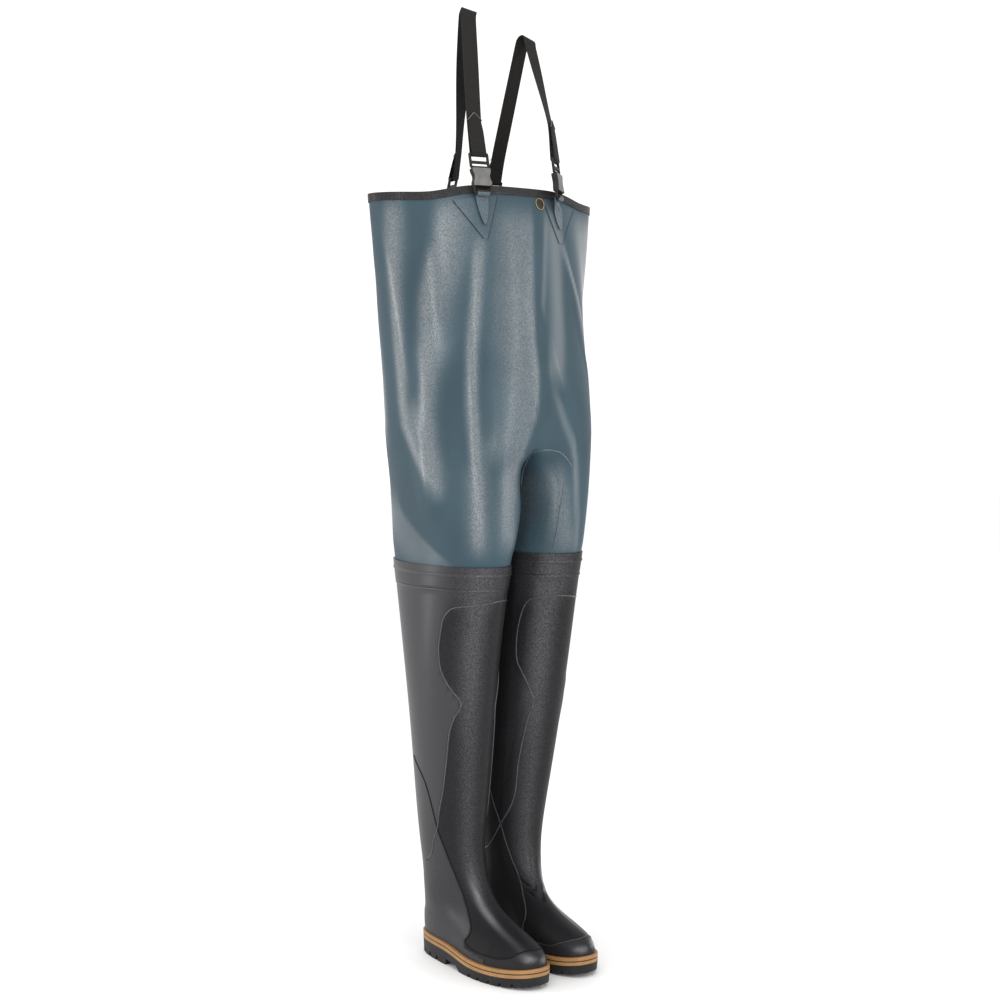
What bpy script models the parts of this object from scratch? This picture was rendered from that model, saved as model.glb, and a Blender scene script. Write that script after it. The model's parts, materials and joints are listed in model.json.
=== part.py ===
"""Chest waders: a coated trouser with rubber boots and webbing braces.

Metres, +Z up. The wearer looks along -Y and +X is the wearer's left. The soles stand on z = 0, the two legs
mirror each other in the plane x = 0, and the origin is below the middle of the whole box.
"""
import math

import bmesh
import bpy
from mathutils import Matrix, Vector

GAP = 0.0003            # clearance between neighbouring pieces
RING = 28               # points round a leg
OUTER = 21              # of these, steps of the body's half ring
AXIS_Y = 0.045          # leg axis behind the origin

SOLE_BALL = 0.0300      # top of the sole under the ball of the foot
HEEL_RISE = 0.0100      # top of the sole is this much higher at the heel
TOE_SPRING = 0.0070
STRIPE_HIGH = 0.0150    # the tan midsole
STRIPE_OUT = 0.0030     # midsole stands proud of the upper
RIB_OUT = 0.0016        # each of its two ribs
LUG_DEEP = 0.0055
INSOLE_THICK = 0.0040

BOOT_WALL = 0.0022
BOOT_TOP = 0.7106
LEFT_TOP_RISE = 0.0160  # the left shaft is drawn up higher
CUFF_HIGH = 0.0370
CUFF_STEP = 0.0010
COUNTER_STEP = 0.0014
COUNTER_TOP = 0.0760
SEAM_WIDE = 0.0034
SEAM_HIGH = 0.0013
SEAM_CLEAR = 0.0007     # more than the usual gap, as a ridge spans the facets' edges

CLOTH = 0.0012          # trouser wall
HEM_Z = 0.6940          # trouser leg ends inside the boot
HEM_CLEAR = 0.0020      # drawn in by this much where the boot laps it
CROTCH_Z = 0.8950
FORK_Z = 0.9405         # body above, legs below
FORK_DIP = 0.0330       # the fork comes down to an arch between the legs
ARCH_HALF = 0.0420
ARCH_FALL = 0.2
INNER_FULL = 3.0        # above the boots the legs are squarer by this much at their inner front
INNER_IN = 0.0180       # and stand apart
INNER_Z = 0.7270
RIM_Z = 1.3480
RIM_FRONT = 0.0080      # the rim stands higher between the front buckles
RIM_SIDE = -0.0080
RIM_BACK = -0.0140
RIM_FADE = 1.1700       # below this the cloth hangs level
BINDING_HIGH = 0.0125
BINDING_THICK = 0.0012
PATCH_THICK = 0.0011
PATCH_CLEAR = 0.0006
BADGE_X = 0.0475
BADGE_DROP = 0.0245     # its middle below the rim
BADGE_RADIUS = 0.0105

WEB_WIDE = 0.0276
WEB_THICK = 0.0018
LOOP_RADIUS = 0.0110
TAIL_FRONT = 0.1310     # loose ends above the lower loop
TAIL_BACK = 0.1120
TAB_OUT = 0.0036        # middle of the tongue's thickness from the cloth
BUCKLE_DROP = 0.0080    # middle of the buckle's lower loop below the rim

# Sections of one leg from the sole up, about the leg axis: half width at heel and ball, ends of the section,
# how square heel end and toe end are, how much the arch is drawn in, and how far the toe end leans inward.
LEG_COLUMNS = ("z", "centre", "heel", "ball", "back", "front", "heel_full", "toe_full", "curve", "lean")
LEG = (
    (0.0300, 0.0605, 0.0425, 0.0530, 0.0700, -0.2345, 2.9, 2.35, 1.00, 0.0075),
    (0.0420, 0.0605, 0.0432, 0.0535, 0.0715, -0.2340, 2.9, 2.35, 1.00, 0.0075),
    (0.0560, 0.0605, 0.0436, 0.0510, 0.0720, -0.2250, 2.8, 2.25, 1.00, 0.0085),
    (0.0680, 0.0605, 0.0438, 0.0460, 0.0718, -0.2050, 2.7, 2.05, 0.90, 0.0100),
    (0.0780, 0.0605, 0.0440, 0.0410, 0.0713, -0.1810, 2.6, 1.95, 0.70, 0.0115),
    (0.0880, 0.0607, 0.0442, 0.0370, 0.0706, -0.1540, 2.5, 1.90, 0.50, 0.0115),
    (0.1000, 0.0610, 0.0446, 0.0350, 0.0700, -0.1270, 2.4, 1.90, 0.30, 0.0105),
    (0.1150, 0.0615, 0.0452, 0.0350, 0.0694, -0.1045, 2.3, 1.90, 0.15, 0.0085),
    (0.1350, 0.0622, 0.0460, 0.0380, 0.0692, -0.0870, 2.2, 1.95, 0.05, 0.0050),
    (0.1600, 0.0630, 0.0474, 0.0440, 0.0698, -0.0745, 2.0, 2.00, 0.00, 0.0020),
    (0.1850, 0.0640, 0.0490, 0.0485, 0.0712, -0.0665, 2.0, 2.00, 0.00, 0.0000),
    (0.2250, 0.0649, 0.0510, 0.0510, 0.0780, -0.0680, 2.0, 2.00, 0.00, 0.0000),
    (0.2820, 0.0671, 0.0555, 0.0555, 0.0805, -0.0789, 2.0, 2.00, 0.00, 0.0000),
    (0.3550, 0.0710, 0.0610, 0.0610, 0.0795, -0.0900, 2.0, 2.00, 0.00, 0.0000),
    (0.4390, 0.0748, 0.0665, 0.0665, 0.0813, -0.1031, 2.0, 2.00, 0.00, 0.0000),
    (0.5330, 0.0790, 0.0720, 0.0720, 0.0889, -0.1167, 2.0, 2.00, 0.00, 0.0000),
    (0.6270, 0.0795, 0.0755, 0.0755, 0.1050, -0.1350, 2.0, 2.00, 0.00, 0.0000),
    (0.7106, 0.0775, 0.0745, 0.0745, 0.1310, -0.1580, 2.0, 2.00, 0.00, 0.0000),
    (0.7520, 0.0783, 0.0752, 0.0752, 0.1330, -0.1660, 2.0, 2.00, 0.00, 0.0000),
    (0.7940, 0.0797, 0.0766, 0.0766, 0.1310, -0.1712, 2.0, 2.00, 0.00, 0.0000),
    (0.8360, 0.0820, 0.0789, 0.0789, 0.1290, -0.1725, 2.0, 2.00, 0.00, 0.0000),
    (0.8780, 0.0840, 0.0810, 0.0810, 0.1290, -0.1755, 2.0, 2.00, 0.00, 0.0000),
    (0.9405, 0.0855, 0.0835, 0.0835, 0.1326, -0.1805, 2.0, 2.00, 0.00, 0.0000),
)
# Sections of the body above the fork: half width, front and back depth, squareness, pinch at the middle.
BODY_COLUMNS = ("z", "half", "front", "back", "full", "pinch")
BODY = (
    (0.9405, 0.1715, -0.1805, 0.1326, 2.90, 0.11),
    (1.0030, 0.1760, -0.1768, 0.1428, 2.65, 0.08),
    (1.0760, 0.1860, -0.1573, 0.1467, 2.35, 0.03),
    (1.1495, 0.2010, -0.1419, 0.1400, 2.08, 0.01),
    (1.2227, 0.2150, -0.1290, 0.1220, 2.00, 0.00),
    (1.2958, 0.2270, -0.1130, 0.0980, 2.00, 0.00),
    (1.3480, 0.2340, -0.1010, 0.0800, 2.00, 0.00),
)
BOOT_ROWS = (0.030, 0.046, 0.060, 0.071, 0.0765, 0.084, 0.096, 0.113, 0.136, 0.164, 0.205, 0.265, 0.350,
             0.450, 0.560)
BODY_ROWS = (0.985, 1.040, 1.100, 1.170, 1.255, RIM_Z - BINDING_HIGH, RIM_Z)
LEG_FALLS = (0.0, 0.06, 0.16, 0.38, 0.62)      # rows of a trouser leg, as a share of its height

# Raised seams on a boot: angle from the toe round the outer side, and height. The inner side mirrors them.
SHIN_SEAM = ((0, 0.648), (24, 0.646), (42, 0.643), (53, 0.631), (59, 0.600), (60, 0.560), (56, 0.525),
             (46, 0.498), (36, 0.481), (33, 0.468), (37, 0.455), (46, 0.430), (51, 0.385), (57, 0.325),
             (66, 0.272), (79, 0.218), (103, 0.178))
HEEL_SEAM = ((0, 0.0640), (17, 0.0605), (33, 0.0535), (45, 0.0480), (55, 0.0460), (68, 0.0460), (77, 0.0475),
             (81, 0.0540), (77, 0.0670), (67, 0.0860), (57, 0.108), (49, 0.134), (48, 0.166), (58, 0.206),
             (72, 0.246), (90, 0.318), (116, 0.366))

# Braces: where each strap meets the rim in front and behind, how far its buckles hang twisted there, in
# degrees, and the top of its loop over the shoulder.
BRACE_COLUMNS = ("front_x", "back_x", "front_twist", "back_twist", "top_x", "top_y", "top_z")
BRACES = {
    "right": (-0.0770, -0.0120, 0, -32, -0.0400, 0.0340, 1.6680),
    "left": (0.0880, 0.0760, 25, 0, 0.0830, 0.0260, 1.6330),
}


def ease(value):
    value = min(max(value, 0.0), 1.0)
    return value * value * (3 - 2 * value)


def at(table, names, z):
    """The columns of a table at a height, as a smooth curve through its rows."""
    rows = [row[0] for row in table]
    z = min(max(z, rows[0]), rows[-1])
    k = max(i for i in range(len(rows) - 1) if rows[i] <= z)
    step = rows[k + 1] - rows[k]
    t = (z - rows[k]) / step

    def slope(i, column):
        a = max(i - 1, 0)
        b = min(i + 1, len(rows) - 1)
        return (table[b][column] - table[a][column]) / (rows[b] - rows[a])

    found = {}
    for column, name in enumerate(names):
        p, q = table[k][column], table[k + 1][column]
        m, n = slope(k, column) * step, slope(k + 1, column) * step
        found[name] = (p * (2 * t**3 - 3 * t**2 + 1) + m * (t**3 - 2 * t**2 + t)
                       + q * (3 * t**2 - 2 * t**3) + n * (t**3 - t**2))
    return found


def sole_lift(y):
    """Top of the sole above its height at the ball, y from the leg axis."""
    heel = HEEL_RISE * ease((y + 0.125) / 0.105)
    toe = TOE_SPRING * max(0.0, (-y - 0.150) / 0.080) ** 2
    return heel + toe


def leg_point(z, angle):
    """Point of the left leg at a height, angle 0 in front and 90 degrees on the outer side."""
    row = at(LEG, LEG_COLUMNS, z)
    u = (1 + math.cos(angle)) / 2
    outer = math.sin(angle) >= 0
    full = row["toe_full"] if u > 0.5 else row["heel_full"]
    apart = 0.0 if outer else ease((z - INNER_Z) / 0.070)
    if u > 0.5:
        full += INNER_FULL * apart
    end = max(0.0, 1 - abs(2 * u - 1) ** full) ** (1 / full)
    half = row["heel"] + (row["ball"] - row["heel"]) * ease((u - 0.25) / 0.45) - INNER_IN * apart
    waist = row["curve"] * math.exp(-(((u - 0.43) / 0.13) ** 2)) * (0.001 if outer else 0.006)
    bend = -row["lean"] * max(0.0, (u - 0.50) / 0.50) ** 1.5
    x = row["centre"] + bend + (half - waist) * end * (1 if outer else -1)
    y = row["back"] + (row["front"] - row["back"]) * u
    follow = ease((0.125 - z) / 0.090)
    return Vector((x, y + AXIS_Y, z + sole_lift(y) * follow))


def ring_angle(i):
    return math.radians(-45) + 2 * math.pi * i / RING


def grown(points, out):
    """A closed ring, counter-clockwise from above, moved out sideways by a distance."""
    moved = []
    for i, point in enumerate(points):
        before = (point - points[i - 1]).xy.normalized()
        after = (points[(i + 1) % len(points)] - point).xy.normalized()
        first = Vector((before.y, -before.x))
        second = Vector((after.y, -after.x))
        middle = (first + second).normalized()
        far = out / max(middle.dot(first), 0.5)
        moved.append(point + Vector((middle.x * far, middle.y * far, 0)))
    return moved


def leg_ring(z, out=0.0):
    ring = [leg_point(z, ring_angle(i)) for i in range(RING)]
    return grown(ring, out) if out else ring


def rim_shift(turn):
    """How far the rim lies above its nominal height, turn from 0 in front to pi behind."""
    degrees = math.degrees(turn)
    front = RIM_SIDE + (RIM_FRONT - RIM_SIDE) * (1 - ease((degrees - 20) / 28))
    return front + (RIM_BACK - RIM_SIDE) * ease((degrees - 100) / 60)


def body_point(z, i):
    """Half ring of the body on the left: i = 0 in front, OUTER behind."""
    row = at(BODY, BODY_COLUMNS, z)
    turn = math.pi * i / OUTER
    side, ahead = abs(math.sin(turn)), math.cos(turn)
    x = row["half"] * side ** (2 / row["full"]) if 0 < i < OUTER else 0.0
    depth = -row["front"] if ahead >= 0 else row["back"]
    y = -math.copysign(depth * abs(ahead) ** (2 / row["full"]), ahead)
    y *= 1 - row["pinch"] * (1 - ease(x / (0.6 * row["half"])))
    lift = rim_shift(turn) * ease((z - RIM_FADE) / (RIM_Z - RIM_FADE))
    return Vector((x, y + AXIS_Y, z + lift))


def body_ring(z, out=0.0):
    half = [body_point(z, i) for i in range(OUTER + 1)]
    other = [Vector((-p.x, p.y, p.z)) for p in half[-2:0:-1]]
    ring = half + other
    return grown(ring, out) if out else ring


def fork_point(i):
    """The ring where a leg leaves the body: half of the body's ring, then the crotch from back to front."""
    if i <= OUTER:
        point = body_point(FORK_Z, i)
        arch = 1 + ARCH_FALL * ease(point.x / ARCH_HALF)
        point.z -= FORK_DIP * arch * (1 - ease((point.x - ARCH_HALF) / 0.080))
        return point
    back, front = fork_point(OUTER), fork_point(0)
    t = (i - OUTER) / (RING - OUTER)
    drop = (front.z - CROTCH_Z) * (1 - abs(2 * t - 1) ** 2.4)
    return Vector((0, back.y + (front.y - back.y) * t, front.z - drop))


def trouser_leg_point(i, fall):
    start = fork_point(i)
    z = start.z + (BOOT_TOP + LEFT_TOP_RISE + 0.012 - start.z) * fall
    leg = leg_point(z, ring_angle(i))
    off = start - leg_point(start.z, ring_angle(i))
    reach = 0.35 if i > OUTER or i == 0 else 0.80
    fade = (1 - min(fall / reach, 1.0)) ** 2
    return Vector((leg.x + off.x * fade, leg.y + off.y * fade, z))


def collection(name):
    made = bpy.data.collections.new(name)
    bpy.context.scene.collection.children.link(made)
    return made


def material(name, colour, rough):
    made = bpy.data.materials.new(name)
    made.use_nodes = True
    shader = made.node_tree.nodes["Principled BSDF"]
    shader.inputs["Base Color"].default_value = (*colour, 1)
    shader.inputs["Roughness"].default_value = rough
    return made


def add(name, points, faces, look, solid=True, smooth=False):
    """One object from points and faces; a closed one gets its faces turned outward."""
    mesh = bpy.data.meshes.new(name)
    mesh.from_pydata(points, [], faces)
    if solid:
        shape = bmesh.new()
        shape.from_mesh(mesh)
        bmesh.ops.recalc_face_normals(shape, faces=shape.faces[:])
        shape.to_mesh(mesh)
        shape.free()
    if smooth:
        mesh.shade_smooth()
    made = bpy.data.objects.new(name, mesh)
    if look is None:
        made.hide_render = True
        made.display_type = "WIRE"
        CUTTERS.objects.link(made)
    else:
        mesh.materials.append(look)
        PARTS.objects.link(made)
    return made


def sides(rings, closed=True):
    """Quads between rings of equal length, and all their points."""
    count = len(rings[0])
    faces = []
    for r in range(len(rings) - 1):
        for i in range(count if closed else count - 1):
            j = (i + 1) % count
            a, b = r * count, (r + 1) * count
            faces.append((a + i, a + j, b + j, b + i))
    return [point for ring in rings for point in ring], faces


def rungs(start):
    """Faces that close a leg ring across: points facing each other lie at the same length of the foot."""
    toe = [start + (i % RING) for i in range(4, 4 + RING // 2)]
    other = [start + (i % RING) for i in range(3, 3 - RING // 2, -1)]
    return [(toe[k], toe[k + 1], other[k + 1], other[k]) for k in range(RING // 2 - 1)]


def mirrored(points, side):
    return [Vector((p[0] * side, p[1], p[2])) for p in points]


def thicken(made, wall, outward):
    solid = made.modifiers.new("wall", "SOLIDIFY")
    solid.thickness = wall
    solid.offset = 1 if outward else -1
    solid.use_even_offset = True
    solid.use_quality_normals = True


def combine(made, other, operation):
    cut = made.modifiers.new(operation.lower(), "BOOLEAN")
    cut.object = other
    cut.operation = operation
    cut.solver = "EXACT"


def box(name, low, high):
    """A cutter between two corners."""
    shape = bmesh.new()
    bmesh.ops.create_cube(shape, size=1)
    centre = (Vector(low) + Vector(high)) / 2
    size = Vector(high) - Vector(low)
    for vert in shape.verts:
        vert.co = Vector((vert.co.x * size.x, vert.co.y * size.y, vert.co.z * size.z)) + centre
    mesh = bpy.data.meshes.new(name)
    shape.to_mesh(mesh)
    shape.free()
    made = bpy.data.objects.new(name, mesh)
    made.hide_render = True
    made.display_type = "WIRE"
    CUTTERS.objects.link(made)
    return made


def prism(name, outline, look, placed):
    """An outline in two directions drawn out along a third: placed turns (a, b, c) into a point."""
    low = [placed(a, b, 0) for a, b in outline]
    high = [placed(a, b, 1) for a, b in outline]
    count = len(outline)
    points, faces = sides([low, high])
    faces += [tuple(range(count)), tuple(range(count, 2 * count))]
    return add(name, points, faces, look)


def trouser_surface():
    """Half of the trouser's outer face, open at x = 0."""
    points, faces, index = [], [], {}

    def put(point):
        key = (round(point.x, 6), round(point.y, 6), round(point.z, 6))
        if key not in index:
            index[key] = len(points)
            points.append(point)
        return index[key]

    rows = [[put(body_point(z, i)) for i in range(OUTER + 1)] for z in reversed(BODY_ROWS)]
    rows.append([put(fork_point(i)) for i in range(OUTER + 1)])
    for low, high in zip(rows[1:], rows):
        for i in range(OUTER):
            faces.append((low[i], low[i + 1], high[i + 1], high[i]))
    legs = [[put(trouser_leg_point(i, fall)) for i in range(RING)] for fall in LEG_FALLS]
    inner_top = BOOT_TOP + LEFT_TOP_RISE + 0.012
    legs.append([put(p) for p in leg_ring(inner_top)])
    for z in (inner_top - 0.010, HEM_Z):
        legs.append([put(p) for p in leg_ring(z, -HEM_CLEAR)])
    for high, low in zip(legs, legs[1:]):
        for i in range(RING):
            j = (i + 1) % RING
            faces.append((low[i], low[j], high[j], high[i]))
    return points, faces


def mirror(made):
    half = made.modifiers.new("mirror", "MIRROR")
    half.use_clip = True
    half.merge_threshold = 0.00005


def skin(name, points, faces, clear, thick):
    """A shell that stands clear of a face and follows its facets, to cut an overlay from."""
    made = add(name, points, faces, None, solid=False)
    mirror(made)
    move = made.modifiers.new("clear", "DISPLACE")
    move.strength = clear
    move.mid_level = 0
    thicken(made, thick, True)
    return made


def trouser():
    points, faces = trouser_surface()
    made = add("trouser_body", points, faces, BLUE, solid=False, smooth=True)
    mirror(made)
    thicken(made, CLOTH, False)


def binding():
    """U section over the rim, clear of both faces of the trouser."""
    low, high = RIM_Z - BINDING_HIGH, RIM_Z + GAP
    inner = -1.2 * CLOTH - GAP
    rows = ((low, GAP + BINDING_THICK), (high + BINDING_THICK, GAP + BINDING_THICK),
            (high + BINDING_THICK, inner - BINDING_THICK), (low, inner - BINDING_THICK),
            (low, inner), (high, inner), (high, GAP), (low, GAP))
    rings = []
    for z, out in rows:
        ring = body_ring(min(z, RIM_Z), out)
        above = Vector((0, 0, max(z - RIM_Z, 0)))
        rings.append([p + above for p in ring])
    points, faces = sides(rings + [rings[0]])
    count = len(rings[0])
    faces = [tuple(v % (len(rows) * count) for v in face) for face in faces]
    add("collar_binding", points[:len(rows) * count], faces, BLACK)


def boot_heights(top):
    return list(BOOT_ROWS) + [top - CUFF_HIGH - 0.0012, top - CUFF_HIGH, top]


def boot_rings(top):
    """Outer face of a boot: the counter and the cuff are steps in it."""
    rings = []
    for z in BOOT_ROWS:
        ring = leg_ring(z + (GAP if z == BOOT_ROWS[0] else 0))
        if z < COUNTER_TOP:
            wide = grown(ring, COUNTER_STEP)
            for i in range(RING):
                back = ease((-math.cos(ring_angle(i)) - 0.15) / 0.35)
                ring[i] = ring[i].lerp(wide[i], back)
        rings.append(ring)
    rings.append(leg_ring(top - CUFF_HIGH - 0.0012))
    rings.append(leg_ring(top - CUFF_HIGH, CUFF_STEP))
    rings.append(leg_ring(top, CUFF_STEP))
    return rings


def facet_path(path, heights):
    """Ring and point numbers of a path of angles and heights, with a row wherever it crosses an edge."""

    def number(a, z):
        r = max(k for k in range(len(heights) - 1) if heights[k] <= z)
        return Vector((r + (z - heights[r]) / (heights[r + 1] - heights[r]), (a + 45) / 360 * RING))

    spots = [number(a, z) for a, z in path]
    rows = [spots[0]]
    for p, q in zip(spots, spots[1:]):
        shares = {1.0}
        for axis in (0, 1):
            low, high = sorted((p[axis], q[axis]))
            for line in range(math.ceil(low), math.floor(high) + 1):
                if high - low > 1e-6:
                    shares.add((line - p[axis]) / (q[axis] - p[axis]))
        rows += [p.lerp(q, t) for t in sorted(shares)]
    return [row for k, row in enumerate(rows) if k == 0 or (row - rows[k - 1]).length > 0.05]


def seam(path, rings, heights):
    """A ridge of triangular section that follows the facets of a boot along a path."""

    def spot(row):
        r = min(int(row[0]), len(rings) - 2)
        i = math.floor(row[1])
        s, t = row[0] - r, row[1] - i
        low = rings[r][i % RING].lerp(rings[r][(i + 1) % RING], t)
        high = rings[r + 1][i % RING].lerp(rings[r + 1][(i + 1) % RING], t)
        return low.lerp(high, s)

    rows = facet_path(path, heights)
    ridge = []
    for k, row in enumerate(rows):
        along = spot(rows[min(k + 1, len(rows) - 1)]) - spot(rows[max(k - 1, 0)])
        around = spot(row + Vector((0, 0.3))) - spot(row - Vector((0, 0.3)))
        rise = spot(row + Vector((0.2, 0))) - spot(row - Vector((0.2, 0)))
        out = around.cross(rise).normalized()
        across = out.cross(along).normalized() * (SEAM_WIDE / 2)
        base = spot(row) + out * SEAM_CLEAR
        ridge.append([base - across, base + across, base + out * SEAM_HIGH])
    points, faces = sides(ridge)
    return points, faces + [(0, 1, 2), tuple(range(len(points) - 3, len(points)))]


def boot(side_name):
    side = 1 if side_name == "left" else -1
    top = BOOT_TOP + (LEFT_TOP_RISE if side > 0 else 0)
    rings = boot_rings(top)
    points, faces = sides(rings)
    points = mirrored(points, side)
    if side < 0:
        faces = [face[::-1] for face in faces]
    made = add("boot_upper_" + side_name, points, faces, RUBBER, solid=False, smooth=True)
    thicken(made, BOOT_WALL, False)
    for name, half, look in (("cutter_seam_", HEEL_SEAM, None), ("raised_seams_", SHIN_SEAM, RUBBER)):
        path = [(-a, z) for a, z in half[:0:-1]] + list(half)
        points, faces = seam(path, rings, boot_heights(top))
        made = add(name + side_name, mirrored(points, side), faces, look)
    combine(made, bpy.data.objects["cutter_seam_" + side_name], "UNION")


def sole(side_name):
    side = 1 if side_name == "left" else -1
    base = leg_ring(SOLE_BALL)

    def level(out, drop):
        return [Vector((p.x, p.y, p.z - drop)) for p in grown(base, out)]

    rows = ((1.0, 0.0), (0.94, RIB_OUT), (0.58, RIB_OUT), (0.50, 0.0), (0.42, RIB_OUT), (0.06, RIB_OUT),
            (0.0, 0.0))
    rings = [level(STRIPE_OUT + out, STRIPE_HIGH * share) for share, out in rows]
    points, faces = sides(rings)
    faces += rungs(0) + rungs(RING * (len(rings) - 1))
    add("midsole_" + side_name, mirrored(points, side), faces, TAN)

    def floor_height(y):
        return TOE_SPRING * max(0.0, (AXIS_Y - y - 0.150) / 0.080) ** 2

    top = level(STRIPE_OUT, STRIPE_HIGH + GAP)
    edge = level(STRIPE_OUT + 0.0008, STRIPE_HIGH + GAP + 0.0020)
    low = [Vector((p.x, p.y, floor_height(p.y))) for p in grown(base, STRIPE_OUT - 0.0014)]
    points, faces = sides([top, edge, low])
    faces += rungs(0) + rungs(2 * RING)
    made = add("outsole_" + side_name, mirrored(points, side), faces, BLACK)
    arch = ((-0.031, -0.005), (-0.034, 0.0110), (-0.060, 0.0085), (-0.092, -0.005))
    combine(made, prism("arch_" + side_name, arch, None,
                        lambda a, b, c: (side * (-0.05 + 0.25 * c), a + AXIS_Y, b)), "DIFFERENCE")
    for k, y in enumerate((0.046, 0.022, -0.003, -0.112, -0.136, -0.160, -0.184, -0.206)):
        deep = LUG_DEEP + floor_height(y + AXIS_Y)
        cutter = box("groove_%s_%d" % (side_name, k), (-0.05, y + AXIS_Y - 0.0024, -0.01),
                     (0.20, y + AXIS_Y + 0.0024, deep))
        cutter.data.transform(Matrix.Scale(side, 4, (1, 0, 0)))
        if side < 0:
            cutter.data.flip_normals()
        combine(made, cutter, "DIFFERENCE")
    centre = side * 0.0580
    for k, (low_y, high_y) in enumerate(((-0.212, -0.104), (-0.010, 0.050))):
        cutter = box("channel_%s_%d" % (side_name, k), (centre - 0.0035, low_y + AXIS_Y, -0.01),
                     (centre + 0.0035, high_y + AXIS_Y, LUG_DEEP - 0.0006))
        combine(made, cutter, "DIFFERENCE")

    inside = -BOOT_WALL - 2 * GAP
    points, faces = sides([level(inside, -GAP), level(inside, -GAP - INSOLE_THICK)])
    faces += rungs(0) + rungs(RING)
    add("insole_" + side_name, mirrored(points, side), faces, LINING)


class Place:
    """Where a buckle sits: a point near the rim, the rim's direction, the outward normal and the way up."""

    def __init__(self, x, front, twist=0):
        def spot(x, z):
            steps = [k / 40 for k in range(40 * OUTER + 1)]
            steps = [i for i in steps if (i < OUTER / 2) == front]
            best = min(steps, key=lambda i: abs(body_point(z, i).x - abs(x)))
            found = body_point(z, best)
            return Vector((x, found.y, found.z))

        rim = spot(x, RIM_Z)
        along = spot(x + 0.012, RIM_Z) - spot(x - 0.012, RIM_Z)
        self.along = Vector((along.x, along.y, 0)).normalized()
        self.up = (rim - spot(x, RIM_Z - 0.05)).normalized()
        self.rim = rim - self.up * BUCKLE_DROP
        self.out = self.along.cross(self.up).normalized()
        if (self.out.y < 0) != front:
            self.out = -self.out
        # A twisted buckle stands off so far that its inner edge clears the cloth, and is drawn sideways.
        turn = math.radians(twist)
        drawn = self.out * (0.0185 * abs(math.sin(turn))) - self.along * (0.024 * math.sin(turn))
        self.hung = self.rim + drawn
        self.across = self.along * math.cos(turn) - self.out * math.sin(turn)
        self.face = self.out * math.cos(turn) + self.along * math.sin(turn)

    def at(self, t, n, u):
        """Place on the cloth: along the rim, out from it and up."""
        return self.rim + self.along * t + self.out * n + self.up * u

    def on(self, t, n, u):
        """Place on the buckle."""
        return self.hung + self.across * t + self.face * n + self.up * u


def ribbon(name, path, look):
    """A band: rows of centre, width direction, half width and half thickness direction."""
    rings = []
    count = len(path)
    for k, (centre, across, half) in enumerate(path):
        before = path[max(k - 1, 0)][0]
        after = path[min(k + 1, count - 1)][0]
        face = across.cross(after - before).normalized() * (WEB_THICK / 2)
        side = across * half
        rings.append([centre - side - face, centre + side - face,
                      centre + side + face, centre - side + face])
    points, faces = sides(rings)
    faces += [(0, 1, 2, 3), tuple(range(4 * count - 4, 4 * count))]
    return add(name, points, faces, look)


def bend(centre, radius, first, last, count):
    """Points of an arc in the (out, up) directions of a place, angles in degrees from straight out."""
    turns = [first + (last - first) * k / (count - 1) for k in range(count)]
    return [(centre[0] + radius * math.cos(math.radians(a)), centre[1] + radius * math.sin(math.radians(a)))
            for a in turns]


def buckle(word, place):
    """Body with a lower loop for the tongue, and the clip with its adjuster bar, shut into each other."""
    half = ((0.0150, -0.0100), (0.0175, -0.0080), (0.0175, 0.0100), (0.0148, 0.0170), (0.0148, 0.0220),
            (0.0175, 0.0290), (0.0175, 0.0335), (0.0165, 0.0350))
    outline = list(half) + [(-t, u) for t, u in reversed(half)]
    made = prism("buckle_body_" + word, outline, BLACK,
                 lambda t, u, c: place.on(t, 0.0036 + 0.0108 * c, u))

    def block(name, t, n, u):
        outline = ((-t, u[0]), (t, u[0]), (t, u[1]), (-t, u[1]))
        return prism(name, outline, None, lambda a, b, c: place.on(a, n[0] + (n[1] - n[0]) * c, b))

    combine(made, block("slot_" + word, 0.0138, (-0.02, 0.04), (-0.0045, 0.0036)), "DIFFERENCE")
    combine(made, block("thin_back_" + word, 0.03, (-0.01, 0.0060), (-0.02, 0.0030)), "DIFFERENCE")
    combine(made, block("thin_front_" + word, 0.03, (0.0105, 0.03), (-0.02, 0.0030)), "DIFFERENCE")

    half = ((0.0165, 0.0353), (0.0185, 0.0380), (0.0185, 0.0600), (0.0170, 0.0620))
    outline = list(half) + [(-t, u) for t, u in reversed(half)]
    made = prism("buckle_clip_" + word, outline, BLACK,
                 lambda t, u, c: place.on(t, 0.0068 + 0.0044 * c, u))
    combine(made, block("clip_low_" + word, 0.0150, (-0.01, 0.03), (0.0385, 0.0430)), "DIFFERENCE")
    combine(made, block("clip_high_" + word, 0.0150, (-0.01, 0.03), (0.0475, 0.0580)), "DIFFERENCE")

    path = [(TAB_OUT, -0.0600, 0.0015), (TAB_OUT, -0.0530, 0.0050), (TAB_OUT, -0.0400, 0.0085),
            (TAB_OUT, -0.0260, 0.0108)]
    path = [(place.at(0, n, u), place.along, wide) for n, u, wide in path]
    loop = [(TAB_OUT, -0.0150)] + bend((0.00825, -0.00725), 0.0048, 200, -80, 9)
    path += [(place.on(0, n, u), place.across, 0.0119) for n, u in loop]
    ribbon("buckle_tab_" + word, path, BLUE)


def patch(word, place, shell, x):
    side = math.copysign(1, x)
    inner = BINDING_HIGH - BUCKLE_DROP + 0.0030
    outer = inner + 0.0100
    outline = ((0.052, -outer), (0.050, -outer - 0.005), (0.004, -0.084), (-0.004, -0.084),
               (-0.030, -inner - 0.008), (-0.032, -inner))
    made = prism("strap_patch_" + word, outline, BLUE,
                 lambda t, u, c: place.at(t * side, -0.020 + 0.040 * c, u))
    combine(made, shell, "INTERSECT")


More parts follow.
